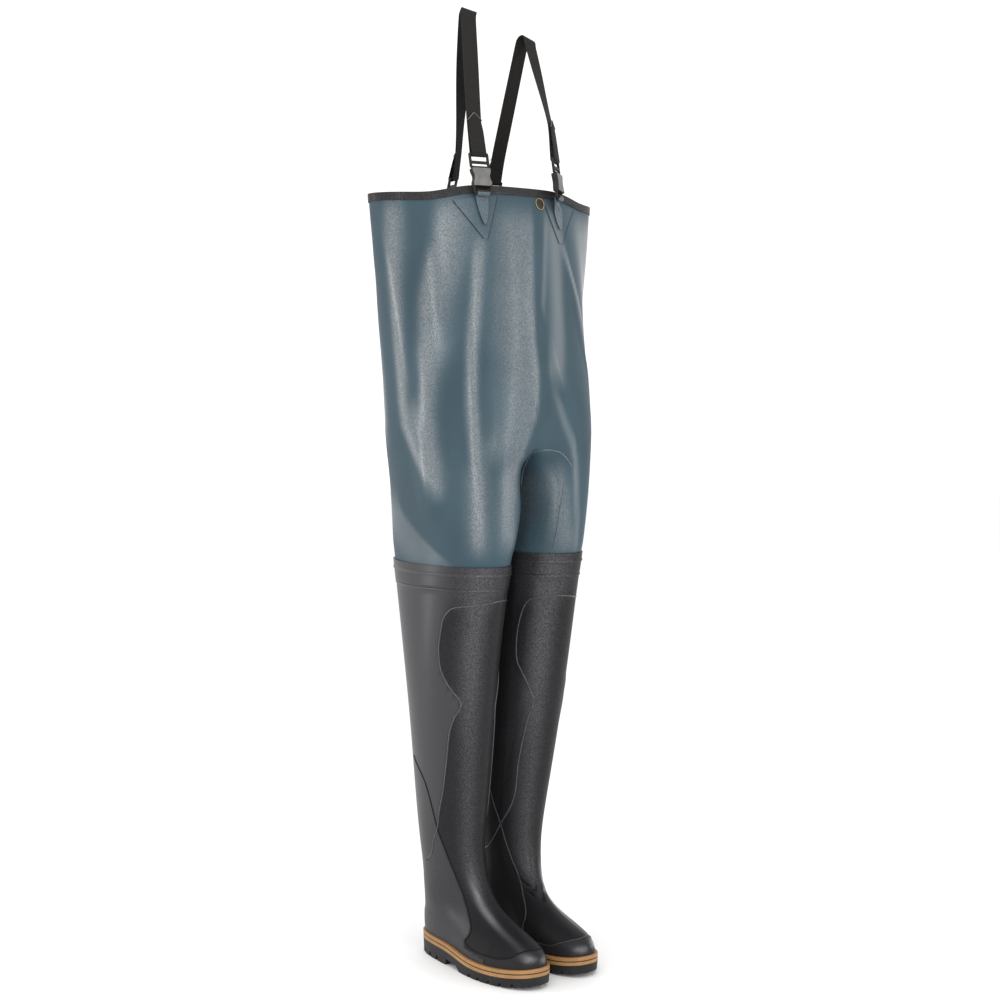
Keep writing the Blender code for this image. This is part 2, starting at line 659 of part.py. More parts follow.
def strap(side_name, front, back):
    row = dict(zip(BRACE_COLUMNS, BRACES[side_name]))
    half = WEB_WIDE / 2
    top = Vector((row["top_x"], row["top_y"], row["top_z"] - LOOP_RADIUS))

    def tail(place, long):
        """Pointed end, down over the outside, under the clip's bar and up again behind."""
        local = [(0.0118, long, 0.0012), (0.0119, long - 0.013, half), (0.0125, 0.60 * long, half)]
        local += [(n, u, half) for n, u in bend((0.0090, 0.0600), 0.0042, 10, -190, 9)]
        local += [(0.0068, 0.68 * long, half), (0.0088, 0.92 * long, half)]
        return [(place.on(0, n, u), place.across, wide) for n, u, wide in local]

    first, last = tail(front, TAIL_FRONT), tail(back, TAIL_BACK)
    level = (last[-1][0] - first[-1][0])
    level = Vector((level.x, level.y, 0)).normalized()
    over = level.cross(Vector((0, 0, 1)))
    over = over if over.x > 0 else -over
    over = Vector((over.x, over.y, -0.30)).normalized()
    rise = level.cross(over)
    rise = rise if rise.z > 0 else -rise
    arch = []
    for k in range(9):
        turn = math.pi * k / 8
        spot = top - level * (LOOP_RADIUS * math.cos(turn)) + rise * (LOOP_RADIUS * math.sin(turn))
        arch.append((spot, over, half))

    def run(start, end, steps):
        rows = []
        for k in range(1, steps):
            t = k / steps
            rows.append((start[0].lerp(end[0], t), start[1].lerp(end[1], ease(t)).normalized(), half))
        return rows

    path = first + run(first[-1], arch[0], 7) + arch + run(arch[-1], last[-1], 7) + last[::-1]
    ribbon("strap_" + side_name, path, WEBBING)


for old in list(bpy.data.objects):
    bpy.data.objects.remove(old)
PARTS = collection("chest_waders")
CUTTERS = collection("cutters")
BLUE = material("coated cloth", (0.105, 0.150, 0.170), 0.32)
BLACK = material("black rubber", (0.018, 0.018, 0.019), 0.45)
RUBBER = material("boot rubber", (0.030, 0.030, 0.033), 0.38)
TAN = material("tan rubber", (0.420, 0.250, 0.110), 0.55)
LINING = material("insole felt", (0.060, 0.058, 0.055), 0.90)
WEBBING = material("webbing", (0.016, 0.016, 0.017), 0.70)

trouser()
binding()
for name in ("right", "left"):
    boot(name)
    sole(name)
surface_points, surface_faces = trouser_surface()
patch_skin = skin("skin_patch", surface_points, surface_faces, PATCH_CLEAR, PATCH_THICK)
for name in ("right", "left"):
    front_x, back_x, front_twist, back_twist = BRACES[name][:4]
    front_place, back_place = Place(front_x, True, front_twist), Place(back_x, False, back_twist)
    for end, spot_x, spot in (("front", front_x, front_place), ("back", back_x, back_place)):
        buckle("%s_%s" % (end, name), spot)
        patch("%s_%s" % (end, name), spot, patch_skin, -0.01 if name == "right" else 0.01)
    strap(name, front_place, back_place)
place = Place(BADGE_X, True)
outline = [(math.cos(math.radians(15 * k)), math.sin(math.radians(15 * k))) for k in range(24)]
badge = prism("blank_badge", outline, BLACK, lambda a, b, c: place.at(
    BADGE_RADIUS * a, -0.02 + 0.04 * c, BADGE_RADIUS * b + BUCKLE_DROP - BADGE_DROP))
combine(badge, patch_skin, "INTERSECT")
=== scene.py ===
"""Chest waders, dressed: grained coated cloth, moulded rubber boots, webbing braces and a plain studio."""

import json
import math

import bmesh
import bpy
import numpy as np
from bpy.props import FloatProperty, FloatVectorProperty, IntProperty, PointerProperty
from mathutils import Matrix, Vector
from mathutils.bvhtree import BVHTree

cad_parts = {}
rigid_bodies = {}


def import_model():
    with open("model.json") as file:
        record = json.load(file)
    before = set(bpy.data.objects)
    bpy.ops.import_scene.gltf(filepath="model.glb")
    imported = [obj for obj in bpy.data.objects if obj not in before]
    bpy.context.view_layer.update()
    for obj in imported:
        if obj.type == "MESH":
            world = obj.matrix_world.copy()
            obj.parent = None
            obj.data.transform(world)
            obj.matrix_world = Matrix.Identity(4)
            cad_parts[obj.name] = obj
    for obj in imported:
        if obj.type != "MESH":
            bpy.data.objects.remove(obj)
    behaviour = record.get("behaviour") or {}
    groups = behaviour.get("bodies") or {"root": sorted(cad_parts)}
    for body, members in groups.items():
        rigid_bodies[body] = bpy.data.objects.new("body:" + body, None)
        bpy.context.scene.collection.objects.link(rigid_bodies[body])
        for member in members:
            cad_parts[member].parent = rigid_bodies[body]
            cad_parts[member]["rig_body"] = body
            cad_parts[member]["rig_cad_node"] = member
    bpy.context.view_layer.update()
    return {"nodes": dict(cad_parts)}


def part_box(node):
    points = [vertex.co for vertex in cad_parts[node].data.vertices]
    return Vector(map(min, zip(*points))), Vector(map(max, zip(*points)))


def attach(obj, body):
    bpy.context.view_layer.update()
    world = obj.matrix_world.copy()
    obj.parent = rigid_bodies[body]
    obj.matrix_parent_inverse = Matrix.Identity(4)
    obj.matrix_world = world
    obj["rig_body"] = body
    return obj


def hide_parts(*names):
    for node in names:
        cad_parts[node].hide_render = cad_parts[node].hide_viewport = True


bl_info = {
    "name": "Chest waders",
    "version": (1, 0, 0),
    "blender": (4, 5, 0),
    "location": "3D View > Sidebar > Waders",
    "description": "Dresses the packed chest waders piece by piece",
    "category": "Object",
}

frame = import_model()
SIDES = {"right": -1, "left": 1}
ENDS = tuple(end + "_" + side for end in ("front", "back") for side in SIDES)
AXIS_Y = 0.045                      # leg axis behind the origin, as in the solids
RIM_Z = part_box("trouser_body")[1].z
FADE_Z = (1.235, 1.325)             # the folds die out between these heights, below the binding
FORK_Z = 0.935                      # the trouser is two legs below this
LEG_MIDDLE = (0.080, AXIS_Y - 0.015)
FOOT_MIDDLE = (0.063, AXIS_Y - 0.02, 0.02)
BROAD = 0.05                        # a streak wider than this is flat in the middle

# Upright folds of the trouser: name, width and height of the swell, then turn from the front in degrees
# (left positive) against height, from the top down. A negative height is a trough.
FOLDS = (
    ("right side ridge", 0.024, 0.003,
     ((-79, 1.32), (-82, 1.16), (-84, 1.06), (-81, 0.976), (-74, 0.917), (-70, 0.82))),
    ("right side trough", 0.02, -0.002, ((-70, 1.31), (-73, 1.17), (-75, 1.07), (-76, 0.99))),
    ("right front ridge", 0.03, 0.0036,
     ((-61, 1.3), (-64, 1.18), (-66, 1.09), (-70, 0.994), (-71, 0.917), (-71, 0.8))),
    ("right front trough", 0.026, -0.0026, ((-49, 1.28), (-52, 1.15), (-55, 1.0), (-56, 0.88))),
    ("patch ridge", 0.018, 0.0028, ((-38, 1.26), (-41, 1.16), (-43, 1.04), (-42, 0.927), (-44, 0.79))),
    ("middle trough", 0.016, -0.002, ((-30, 1.27), (-32, 1.16), (-34, 1.04), (-36, 0.93))),
    ("middle swell", 0.032, 0.0026, ((-12, 1.31), (-14, 1.16), (-15, 1.04), (-18, 0.95))),
    ("middle edge", 0.015, 0.0032, ((15, 1.31), (3, 1.16), (2, 1.045), (2, 0.976))),
    ("left of the edge", 0.018, -0.0034, ((25, 1.31), (12, 1.16), (10, 1.045), (9, 0.976))),
    ("left patch crease", 0.009, 0.002, ((40, 1.285), (44, 1.185), (47, 1.098), (49, 1.04))),
    ("left thigh crease", 0.01, 0.0022, ((16, 1.05), (20, 0.993), (24, 0.924), (25, 0.855), (25, 0.77))),
    ("left side trough", 0.028, -0.0035, ((66, 1.3), (69, 1.16), (71, 1.02), (70, 0.9))),
    ("left side ridge", 0.026, 0.0035, ((88, 1.31), (86, 1.16), (84, 1.02), (78, 0.86))),
    ("left back trough", 0.03, -0.0035, ((128, 1.28), (131, 1.1), (129, 0.96))),
    ("back ridge", 0.034, 0.0038, ((158, 1.28), (162, 1.08), (156, 0.94), (152, 0.82))),
    ("back dip", 0.026, -0.003, ((-172, 1.24), (-176, 1.08), (-178, 0.99))),
    ("right back ridge", 0.03, 0.0038, ((-146, 1.29), (-150, 1.1), (-147, 0.95), (-143, 0.82))),
    ("right back trough", 0.026, -0.0035, ((-116, 1.3), (-119, 1.12), (-118, 0.96))),
)
# Painted highlights of the coating along the folds, as streaks of sheen: grained or smooth, strength,
# width to either side, then turn and height.
STREAKS = (
    ("grained", 0.95, 0.014, 0.015,
     ((-80.7, 1.32), (-80.9, 1.245), (-82.9, 1.162), (-86.0, 1.078), (-87.7, 0.993), (-86.7, 0.951),
      (-80.3, 0.917), (-69.7, 0.875), (-63.1, 0.847))),
    ("grained", 0.85, 0.014, 0.022,
     ((-59.1, 1.32), (-59.4, 1.261), (-63.5, 1.211), (-66.3, 1.161), (-65.4, 1.094), (-67.1, 1.027),
      (-69.0, 0.977), (-68.1, 0.926), (-66.4, 0.875))),
    ("grained", 0.45, 0.02, 0.03,
     ((-53.0, 1.325), (-55.0, 1.25), (-60.0, 1.19), (-64.0, 1.12), (-66.0, 1.06))),
    ("grained", 0.55, 0.02, 0.028, ((-79.0, 0.98), (-76.0, 0.93), (-70.0, 0.89), (-66.0, 0.86))),
    ("grained", 0.92, 0.01, 0.01,
     ((-38.3, 1.263), (-39.5, 1.229), (-40.5, 1.161), (-42.3, 1.077), (-42.4, 0.994), (-40.9, 0.927),
      (-39.5, 0.861), (-39.1, 0.793), (-39.1, 0.759))),
    ("grained", 0.5, 0.02, 0.02, ((-40.0, 0.88), (-39.3, 0.82), (-39.1, 0.75))),
    ("grained", 0.6, 0.078, 0.006,
     ((11.0, 1.312), (4.0, 1.233), (0.5, 1.164), (-2.0, 1.095), (-1.5, 1.044), (-2.5, 1.01),
      (-5.0, 0.96), (-10.0, 0.926), (-13.0, 0.906))),
    ("grained", 0.72, 0.022, 0.012, ((-16.0, 0.9), (-21.0, 0.86), (-22.0, 0.8), (-21.0, 0.755))),
    ("smooth", 0.45, 0.005, 0.005, ((29.7, 1.314), (21.1, 1.235), (12.4, 1.156))),
    ("smooth", 0.6, 0.016, 0.015,
     ((37.0, 1.315), (31.5, 1.236), (26.0, 1.166), (21.0, 1.097), (15.5, 1.041))),
    ("smooth", 0.62, 0.006, 0.006,
     ((39.4, 1.268), (44.3, 1.22), (50.8, 1.169), (54.0, 1.13), (57.0, 1.09))),
    ("smooth", 0.62, 0.03, 0.06, ((66.0, 1.31), (68.0, 1.16), (70.0, 1.02))),
    ("smooth", 0.42, 0.006, 0.006,
     ((13.0, 1.002), (16.8, 0.959), (21.2, 0.924), (23.8, 0.89), (24.4, 0.82), (27.3, 0.741))),
    ("grained", 0.5, 0.016, 0.016, ((14.0, 0.87), (15.3, 0.821), (17.4, 0.786), (21.2, 0.742))),
    ("smooth", 0.3, 0.11, 0.012,
     ((-109.5, 0.818), (-104.0, 0.797), (-88.9, 0.769), (-75.9, 0.745), (-66.6, 0.728), (-60.0, 0.715))),
    ("grained", 0.5, 0.02, 0.02, ((88.0, 1.31), (86.0, 1.16), (84.0, 1.02), (78.0, 0.86))),
    ("grained", 0.6, 0.018, 0.024, ((158.0, 1.28), (162.0, 1.08), (156.0, 0.94), (152.0, 0.78))),
    ("grained", 0.6, 0.022, 0.018, ((-146.0, 1.29), (-150.0, 1.1), (-147.0, 0.95), (-143.0, 0.78))),
    ("grained", 0.45, 0.016, 0.02, ((-114.0, 1.3), (-112.0, 1.12), (-114.0, 0.94))),
)
# Creases across the front of an ankle: side, angle from the toe, height, reach in degrees, slope, width,
# depth.
ANKLE_CREASES = (
    ("left", -26, 0.124, 18, 0.00010, 0.0052, 0.0040),
    ("left", -22, 0.109, 18, 0.00008, 0.0050, 0.0034),
    ("left", 8, 0.118, 24, 0.00006, 0.0050, 0.0022),
)
# Moulded lines on a boot: angle from the toe (outer side positive) and height, from the inner side to the
# outer.
SHIN_LINE = (
    (-104, 0.177), (-87, 0.19), (-73, 0.212), (-62, 0.236), (-50, 0.262), (-43, 0.295), (-42, 0.353),
    (-35, 0.426), (-31, 0.448), (-30, 0.463), (-34, 0.479), (-45, 0.508), (-54, 0.534), (-56, 0.57),
    (-54, 0.606), (-49, 0.636), (-39, 0.648), (-12, 0.6515), (4, 0.65), (20, 0.6465), (38, 0.6435),
    (50, 0.639), (58, 0.622), (61, 0.59), (62, 0.566), (59, 0.531), (49, 0.502), (38, 0.4835),
    (34, 0.473), (36, 0.462), (43, 0.446), (49, 0.418), (53, 0.371), (59, 0.315), (66, 0.276),
    (71, 0.243), (79, 0.2205), (88, 0.194), (104, 0.177),
)
HEEL_LINE = (
    (-119, 0.362), (-94, 0.318), (-78, 0.27), (-64, 0.232), (-55, 0.199), (-47, 0.168), (-42, 0.134),
    (-53, 0.101), (-70, 0.078), (-78, 0.066), (-80, 0.054), (-72, 0.047), (-57, 0.046), (-47, 0.054),
    (-36, 0.0595), (-24, 0.0625), (4, 0.0635), (25, 0.059), (39, 0.0515), (51, 0.047), (60, 0.046),
    (73, 0.0472), (82, 0.0515), (84, 0.058), (78, 0.0672), (65, 0.0833), (51, 0.1057), (45, 0.1296),
    (49, 0.166), (60, 0.209), (71, 0.243), (90, 0.322), (119, 0.3646),
)
# The welt round the fork, from the front of the right leg over the arch to the front of the left leg.
FORK_WELT = (
    (0.0194, -0.0424, 0.8462), (0.0152, -0.0534, 0.8695), (0.0073, -0.0773, 0.8914),
    (0.0018, -0.1007, 0.9043), (0.0167, -0.1149, 0.9078), (0.0411, -0.1204, 0.904),
    (0.0557, -0.1217, 0.8933), (0.0658, -0.1231, 0.8793),
)
INSEAM = (
    (0.0517, -0.1212, 0.8451), (0.0452, -0.1185, 0.8037), (0.044, -0.1119, 0.7687),
    (0.0448, -0.1029, 0.7368),
)
# Edge of the outer panel of a boot, where its smooth painted reflection begins: height and angle from the
# toe.
PANEL_EDGE = (
    (0.0515, 84), (0.058, 84), (0.0672, 78), (0.0833, 65), (0.1057, 51), (0.1296, 45), (0.166, 49),
    (0.209, 60), (0.243, 71), (0.276, 66), (0.315, 59), (0.371, 53), (0.418, 49), (0.446, 43),
    (0.462, 36), (0.473, 34), (0.4835, 38), (0.502, 49), (0.531, 59), (0.566, 62), (0.59, 61),
    (0.622, 58), (0.639, 52), (0.73, 50),
)
# Ridges round a cuff: drop from the top, radius, how far sunk.
CUFF_RIDGES = ((0.0150, 0.0036, 0.0019), (0.0405, 0.0022, 0.0009))
CUFF_SEAM = (-23, 0.001, 0.013)     # angle from the toe, then the drop of its two ends from the top
# Painted light on a boot: the highlight streak down the shin, as heights and its angle on either side, and
# the glints of the toe, as angle, height, reach in degrees and reach in height.
SHIN_HEIGHTS = (0.08, 0.15, 0.30, 0.58)
SHIN_STREAK = {-1: (19, 16, 20, 23), 1: (-12, -16, -22, -27)}
GLINTS = ((12, 0.052, 13, 0.006), (-20, 0.048, 12, 0.006), (17, 0.116, 9, 0.042))
# Tread: places behind the leg axis, heights over the floor.
SOLE_X = 0.058                      # middle of a sole
SOLE_DRAFT = (0.975, 0.991)         # the tread is this much narrower and shorter than the stripe over it
TOE_SPRING = (0.150, 0.080, 0.0070)     # start ahead of the leg axis, run, and rise at the end of the run
GROOVES = (0.046, 0.022, -0.003, -0.112, -0.136, -0.160, -0.184, -0.206)
GROOVE_HALF, GROOVE_TOP = 0.0024, 0.0057
HEEL_GROOVE_MORE = 0.0025           # the heel's grooves are this much deeper
SPLITS = ((-0.2121, -0.1041), (-0.0101, 0.0501))    # the grooves along the forefoot and the heel
SPLIT_HALF, SPLIT_TOP = 0.0035, 0.0049
ARCH = (-0.092, -0.031)             # from front to back where it meets the floor
ARCH_FRONT, ARCH_BACK = (-0.070, 0.0080), (-0.0345, 0.0110)     # place and height of its upper corners
# Radii of the thin welts, seams and edges.
WELT_RADIUS, CUFF_SEAM_RADIUS, TIP_RADIUS = 0.0016, 0.0012, 0.0007
PATCH_EDGE_RADIUS, BADGE_RIM_RADIUS = 0.00045, 0.0008
# Soft lights: name, turn from the front, distance, height, size, power, height that it faces.
LIGHTS = (
    ("left strip", -124, 2.6, 1.15, (0.45, 2.2), 17, 0.95),
    ("front strip", -48, 3.2, 1.25, (0.45, 2.4), 17, 1.0),
    ("middle strip", -13, 2.8, 1.25, (0.30, 2.2), 11, 1.0),
    ("right strip", 28, 2.8, 1.20, (0.40, 2.4), 14, 0.9),
    ("top", -60, 0.9, 3.4, (2.2, 2.2), 20, 0.9),
)
SURROUND = 1.15                     # strength of the white surround
CAMERA_PLACE = (-1.8867, -2.4587, 1.019)
CAMERA_TURN = (86.265, 0, -37.585)  # degrees


class WaderSizes(bpy.types.PropertyGroup):
    """Sizes of the dressing."""

    fold: FloatProperty(name="Folds", description="Strength of the cloth's upright folds", default=1.0)
    line_radius: FloatProperty(name="Moulded line", description="Radius of the raised lines on the boots",
                               default=0.0013, unit="LENGTH", subtype="DISTANCE")
    patch_step: FloatProperty(name="Patch step", description="How far a welded patch stands off the cloth",
                              default=0.0013, unit="LENGTH", subtype="DISTANCE")
    buckle_round: FloatProperty(name="Buckle edges", description="Rounding of the buckles' edges",
                                default=0.0010, unit="LENGTH", subtype="DISTANCE")
    cloth_levels: IntProperty(name="Cloth levels", description="Subdivision of the trouser", default=3)
    boot_levels: IntProperty(name="Boot levels", description="Subdivision of the boots", default=3)
    lens: FloatProperty(name="Lens", description="Focal length on a 36 mm sensor", default=63.43)


class WaderColours(bpy.types.PropertyGroup):
    """Colours of the dressing, as linear values."""

    cloth: FloatVectorProperty(name="Coated cloth", description="Slate of the trouser", subtype="COLOR",
                               default=(0.031, 0.060, 0.078))
    # Grey painted into the cloth along its folds as highlights.
    shine: FloatVectorProperty(name="Painted cloth sheen", description="Grey painted along the cloth's folds as highlights", subtype="COLOR",
                               default=(0.300, 0.305, 0.305))
    rubber: FloatVectorProperty(name="Boot rubber", description="Black of the boots", subtype="COLOR",
                                default=(0.008, 0.008, 0.009))
    stripe: FloatVectorProperty(name="Sole stripe", description="Tan of the ribbed stripe", subtype="COLOR",
                                default=(0.330, 0.175, 0.066))
    trim: FloatVectorProperty(name="Black trim", description="Binding and buckles", subtype="COLOR",
                              default=(0.012, 0.011, 0.010))
    webbing: FloatVectorProperty(name="Webbing", description="Black of the braces", subtype="COLOR",
                                 default=(0.013, 0.012, 0.011))


class Term:
    """A shader socket that takes part in plain arithmetic."""

    def __init__(self, finish, socket):
        self.finish = finish
        self.socket = socket

    def __add__(self, other):
        return self.finish.maths("ADD", self, other)

    __radd__ = __add__

    def __sub__(self, other):
        return self.finish.maths("SUBTRACT", self, other)

    def __rsub__(self, other):
        return self.finish.maths("SUBTRACT", other, self)

    def __mul__(self, other):
        return self.finish.maths("MULTIPLY", self, other)

    __rmul__ = __mul__


class Finish:
    """One node material under construction."""

    def __init__(self, name):
        self.material = bpy.data.materials.new(name)
        self.material.use_nodes = True
        self.tree = self.material.node_tree
        self.shader = self.tree.nodes["Principled BSDF"]

    def node(self, kind, settings=None, inputs=None, out=0):
        """Any node: its type, its settings, then the values or links of its sockets."""
        made = self.tree.nodes.new(kind)
        for key, value in (settings or {}).items():
            setattr(made, key, value)
        for key, value in (inputs or {}).items():
            self.feed(made.inputs[key], value)
        return Term(self, made.outputs[out])

    def feed(self, socket, value):
        if isinstance(value, Term):
            self.tree.links.new(value.socket, socket)
        elif socket.type == "RGBA":
            socket.default_value = (*value, 1)
        else:
            socket.default_value = value

    def maths(self, operation, first, second=0.0):
        return self.node("ShaderNodeMath", {"operation": operation}, {0: first, 1: second})

    def clamp(self, term, low, high):
        """A term brought from low..high to 0..1, with soft ends."""
        return self.node("ShaderNodeMapRange", {"interpolation_type": "SMOOTHSTEP"},
                         {"Value": term, "From Min": low, "From Max": high})

    def place(self):
        return self.node("ShaderNodeTexCoord", out=3)

    def written(self, name):
        """A number written on the mesh's points."""
        return self.node("ShaderNodeAttribute", {"attribute_name": name}, out=2)

    def noise(self, scale, detail=2.0, rough=0.5, stretch=None):
        where = self.place()
        if stretch:
            where = self.node("ShaderNodeMapping", None, {"Vector": where, "Scale": stretch})
        return self.node("ShaderNodeTexNoise", None,
                         {"Vector": where, "Scale": scale, "Detail": detail, "Roughness": rough})

    def mix(self, share, first, second):
        return self.node("ShaderNodeMix", {"data_type": "RGBA"}, {0: share, 6: first, 7: second}, out=2)

    def bump(self, height, distance, strength):
        inputs = {"Height": height, "Distance": distance, "Strength": strength}
        self.set(Normal=self.node("ShaderNodeBump", None, inputs))

    def set(self, **values):
        """Values or links of the shader's own sockets."""
        for key, value in values.items():
            self.feed(self.shader.inputs[key.replace("_", " ")], value)


def scaled(colour, share):
    """A colour made darker or lighter."""
    return tuple(share * part for part in colour)


def coated_cloth(colour, painted_sheen_grey):
    """Coated cloth: matt slate, with painted highlights in grained streaks along its folds."""
    finish = Finish("coated cloth")
    grain = finish.noise(420, 3.0, 0.66)
    fine = finish.noise(1150, 2.0, 0.5)
    cloud = finish.noise(7, 3.0, 0.55)
    drift = finish.noise(16, 2.0, 0.5, (1.0, 1.0, 0.18))
    speck = finish.clamp(grain, 0.36, 0.66)
    # Painted highlights: the shine written along the folds, grained and smooth.
    shine = finish.written("sheen") * (0.48 + 0.80 * speck) * (0.76 + 0.5 * cloud) + finish.written("painted_reflection")
    cloudy = finish.clamp(cloud * 0.6 + drift * 0.4, 0.36, 0.66)
    shade = finish.mix(cloudy, scaled(colour, 0.88), scaled(colour, 1.10))
    # Painted highlight: the slate turns a light grey along the streaks.
    shade = finish.mix(shine * 0.36, shade, painted_sheen_grey)
    finish.set(Base_Color=shade, Roughness=0.50 + 0.10 * cloud - 0.10 * shine, Coat_Weight=0.03 + shine)
    finish.set(Coat_Roughness=0.28, Coat_IOR=1.6, Specular_IOR_Level=0.22)
    finish.bump(grain * 0.75 + fine * 0.25, 0.0011, 0.40)
    return finish.material


def cloth_lining():
    """Knitted backing inside the trouser and the boots."""
    finish = Finish("knitted lining")
    across = finish.node("ShaderNodeTexWave", {"wave_type": "BANDS", "bands_direction": "Z"},
                         {"Vector": finish.place(), "Scale": 210.0, "Distortion": 1.2, "Detail": 1.0})
    fuzz = finish.noise(700, 2.0)
    shade = finish.mix(across * 0.6 + fuzz * 0.4, (0.10, 0.115, 0.115), (0.185, 0.205, 0.205))
    finish.set(Base_Color=shade, Roughness=0.82 + 0.1 * fuzz)
    finish.bump(across * 0.6 + fuzz * 0.4, 0.0006, 0.7)
    return finish.material


def boot_rubber(name, colour):
    """Black moulded rubber with a fine grain, and painted light: a smooth reflection on the heel panels,
    grained highlights elsewhere.
    """
    finish = Finish(name)
    grain = finish.noise(560, 3.0, 0.66)
    fine = finish.noise(1400, 2.0, 0.5)
    dust = finish.noise(22, 4.0, 0.6)
    speck = finish.clamp(grain, 0.36, 0.66)
    shine = finish.written("sheen") * (0.30 + 0.95 * speck) + finish.written("painted_reflection") * (0.94 + 0.10 * speck)
    shade = finish.mix(finish.clamp(dust, 0.42, 0.78) * 0.4, colour, scaled(colour, 1.6))
    # Painted reflection and highlight: the black turns a light grey where the shine is written.
    shade = finish.mix(shine * 0.42, shade, (0.108, 0.104, 0.114))
    finish.set(Base_Color=shade, Roughness=0.44 + 0.12 * dust, Coat_Weight=0.02 + 0.85 * shine)
    finish.set(Coat_Roughness=0.30, Coat_IOR=1.5, Specular_IOR_Level=0.07)
    finish.bump(grain * 0.7 + fine * 0.3, 0.0009, 0.34)
    return finish.material


def stripe_rubber(colour):
    """Tan rubber of the ribbed stripe, darker on the flanks of its ribs."""
    finish = Finish("tan rubber")
    cloud = finish.noise(40, 3.0, 0.6)
    grain = finish.noise(900, 2.0)
    shade = finish.mix(finish.clamp(cloud, 0.35, 0.7), scaled(colour, 0.86), scaled(colour, 1.10))
    # Darker on the faces that turn up or down, the flanks of the ribs.
    flank = finish.clamp(finish.written("flank"), 0.40, 0.95)
    shade = finish.mix(flank * 0.85, shade, (0.260, 0.120, 0.040))
    finish.set(Base_Color=shade, Roughness=0.50 + 0.14 * cloud, Specular_IOR_Level=0.3)
    finish.bump(grain, 0.0004, 0.4)
    return finish.material


def plain_rubber(name, colour, rough, grain_size=700.0, gloss=0.3):
    """Dark rubber or moulded plastic with a faint grain."""
    finish = Finish(name)
    grain = finish.noise(grain_size, 3.0, 0.6)
    cloud = finish.noise(55, 3.0, 0.55)
    shade = finish.mix(finish.clamp(cloud, 0.38, 0.72), colour, scaled(colour, 1.6))
    finish.set(Base_Color=shade, Roughness=rough + 0.12 * cloud, Specular_IOR_Level=gloss)
    finish.bump(grain, 0.0005, 0.45)
    return finish.material


def webbing_cloth(colour):
    """Woven tape: weft ribs across, warp cords along, from how far along and across each point lies."""
    finish = Finish("webbing")
    rib_pitch, cord_pitch = 0.0021, 0.0017
    along = finish.written("along")
    across = finish.written("across")
    wander = finish.maths("SINE", across * (math.pi / cord_pitch)) * 1.2
    rib = finish.maths("SINE", along * (2 * math.pi / rib_pitch) + wander)
    cord = finish.maths("SINE", across * (2 * math.pi / cord_pitch))
    fuzz = finish.noise(900, 2.0)
    weave = rib * 0.30 + cord * 0.20 + 0.5
    thread_and_painted_shadow = finish.clamp(weave + fuzz * 0.4, 0.25, 1.1)
    shade = finish.mix(thread_and_painted_shadow, scaled(colour, 0.55), scaled(colour, 1.75))
    # Painted shade: darker where the brace runs down the back.
    shade = finish.mix(finish.written("shaded"), shade, scaled(colour, 0.12))
    finish.set(Base_Color=shade, Roughness=0.66 + 0.14 * fuzz, Specular_IOR_Level=0.12)
    finish.bump(weave + fuzz * 0.2, 0.0004, 0.8)
    return finish.material


def insole_felt():
    """Grey felt of the insoles."""
    finish = Finish("insole felt")
    fuzz = finish.noise(600, 4.0, 0.7)
    shade = finish.mix(fuzz, (0.05, 0.05, 0.048), (0.10, 0.098, 0.092))
    finish.set(Base_Color=shade, Roughness=0.9 + 0.08 * fuzz)
    finish.bump(fuzz, 0.0007, 0.7)
    return finish.material


def badge_brass():
    """Rubbed brass of the disc's raised rim."""
    finish = Finish("badge rim")
    cloud = finish.noise(500, 3.0)
    shade = finish.mix(cloud, (0.30, 0.20, 0.07), (0.55, 0.40, 0.16))
    finish.set(Base_Color=shade, Roughness=0.34 + 0.2 * cloud, Metallic=0.9 + 0.1 * cloud)
    return finish.material


LOOKS = {}


def look(name):
    """One of the finishes, made once."""
    if name not in LOOKS:
        colours = bpy.context.scene.wader_colours
        makers = {
            "cloth": lambda: coated_cloth(tuple(colours.cloth), tuple(colours.shine)),
            "lining": cloth_lining,
            "rubber": lambda: boot_rubber("boot rubber", tuple(colours.rubber)),
            "stripe": lambda: stripe_rubber(tuple(colours.stripe)),
            "tread": lambda: plain_rubber("outsole rubber", (0.010, 0.010, 0.011), 0.50, 500.0, 0.25),
            "binding": lambda: boot_rubber("binding tape", tuple(colours.trim)),
            "buckle": lambda: plain_rubber("buckle plastic", tuple(colours.trim), 0.44, 1500.0, 0.2),
            # Lighter grey plastic: painted sheen on the buckles and the brace ends.
            "satin": lambda: plain_rubber("grey plastic with painted sheen", (0.085, 0.084, 0.080), 0.40, 1500.0, 0.5),
            # Dark beads along the patch edges: painted shadow.
            "thread_and_painted_shadow": lambda: plain_rubber("painted shadow line", scaled(tuple(colours.trim), 1.6), 0.7, 2500.0),
            "webbing": lambda: webbing_cloth(tuple(colours.webbing)),
            "felt": insole_felt,
            "badge": lambda: plain_rubber("badge plate", (0.010, 0.011, 0.010), 0.3, 1500.0, 0.5),
            "brass": badge_brass,
        }
        LOOKS[name] = makers[name]()
    return LOOKS[name]


def wear(piece, *names):
    """Give a piece its finishes, in the order of its material slots."""
    for name in names:
        piece.data.materials.append(look(name))


def focus(piece):
    """Make a piece the only selected and active object."""
    bpy.ops.object.select_all(action="DESELECT")
    piece.select_set(True)
    bpy.context.view_layer.objects.active = piece


def apply(piece, kind, **settings):
    """Add a modifier, set it and apply it."""
    focus(piece)
    modifier = piece.modifiers.new(kind.lower(), kind)
    for key, value in settings.items():
        setattr(modifier, key, value)
    bpy.ops.object.modifier_apply(modifier=modifier.name)


def subdivide(piece, levels):
    """Round a piece off, as finely in the view as in the render."""
    apply(piece, "SUBSURF", levels=levels, render_levels=levels)


def smooth(piece, degrees):
    """Shade smooth, but for edges that turn by more than an angle."""
    focus(piece)
    bpy.ops.object.shade_smooth_by_angle(angle=math.radians(degrees))


def seat(piece, slot, *nodes):
    """Tie a finished piece to the frame."""
    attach(piece, "root")
    if nodes:
        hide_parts(*nodes)
    return piece


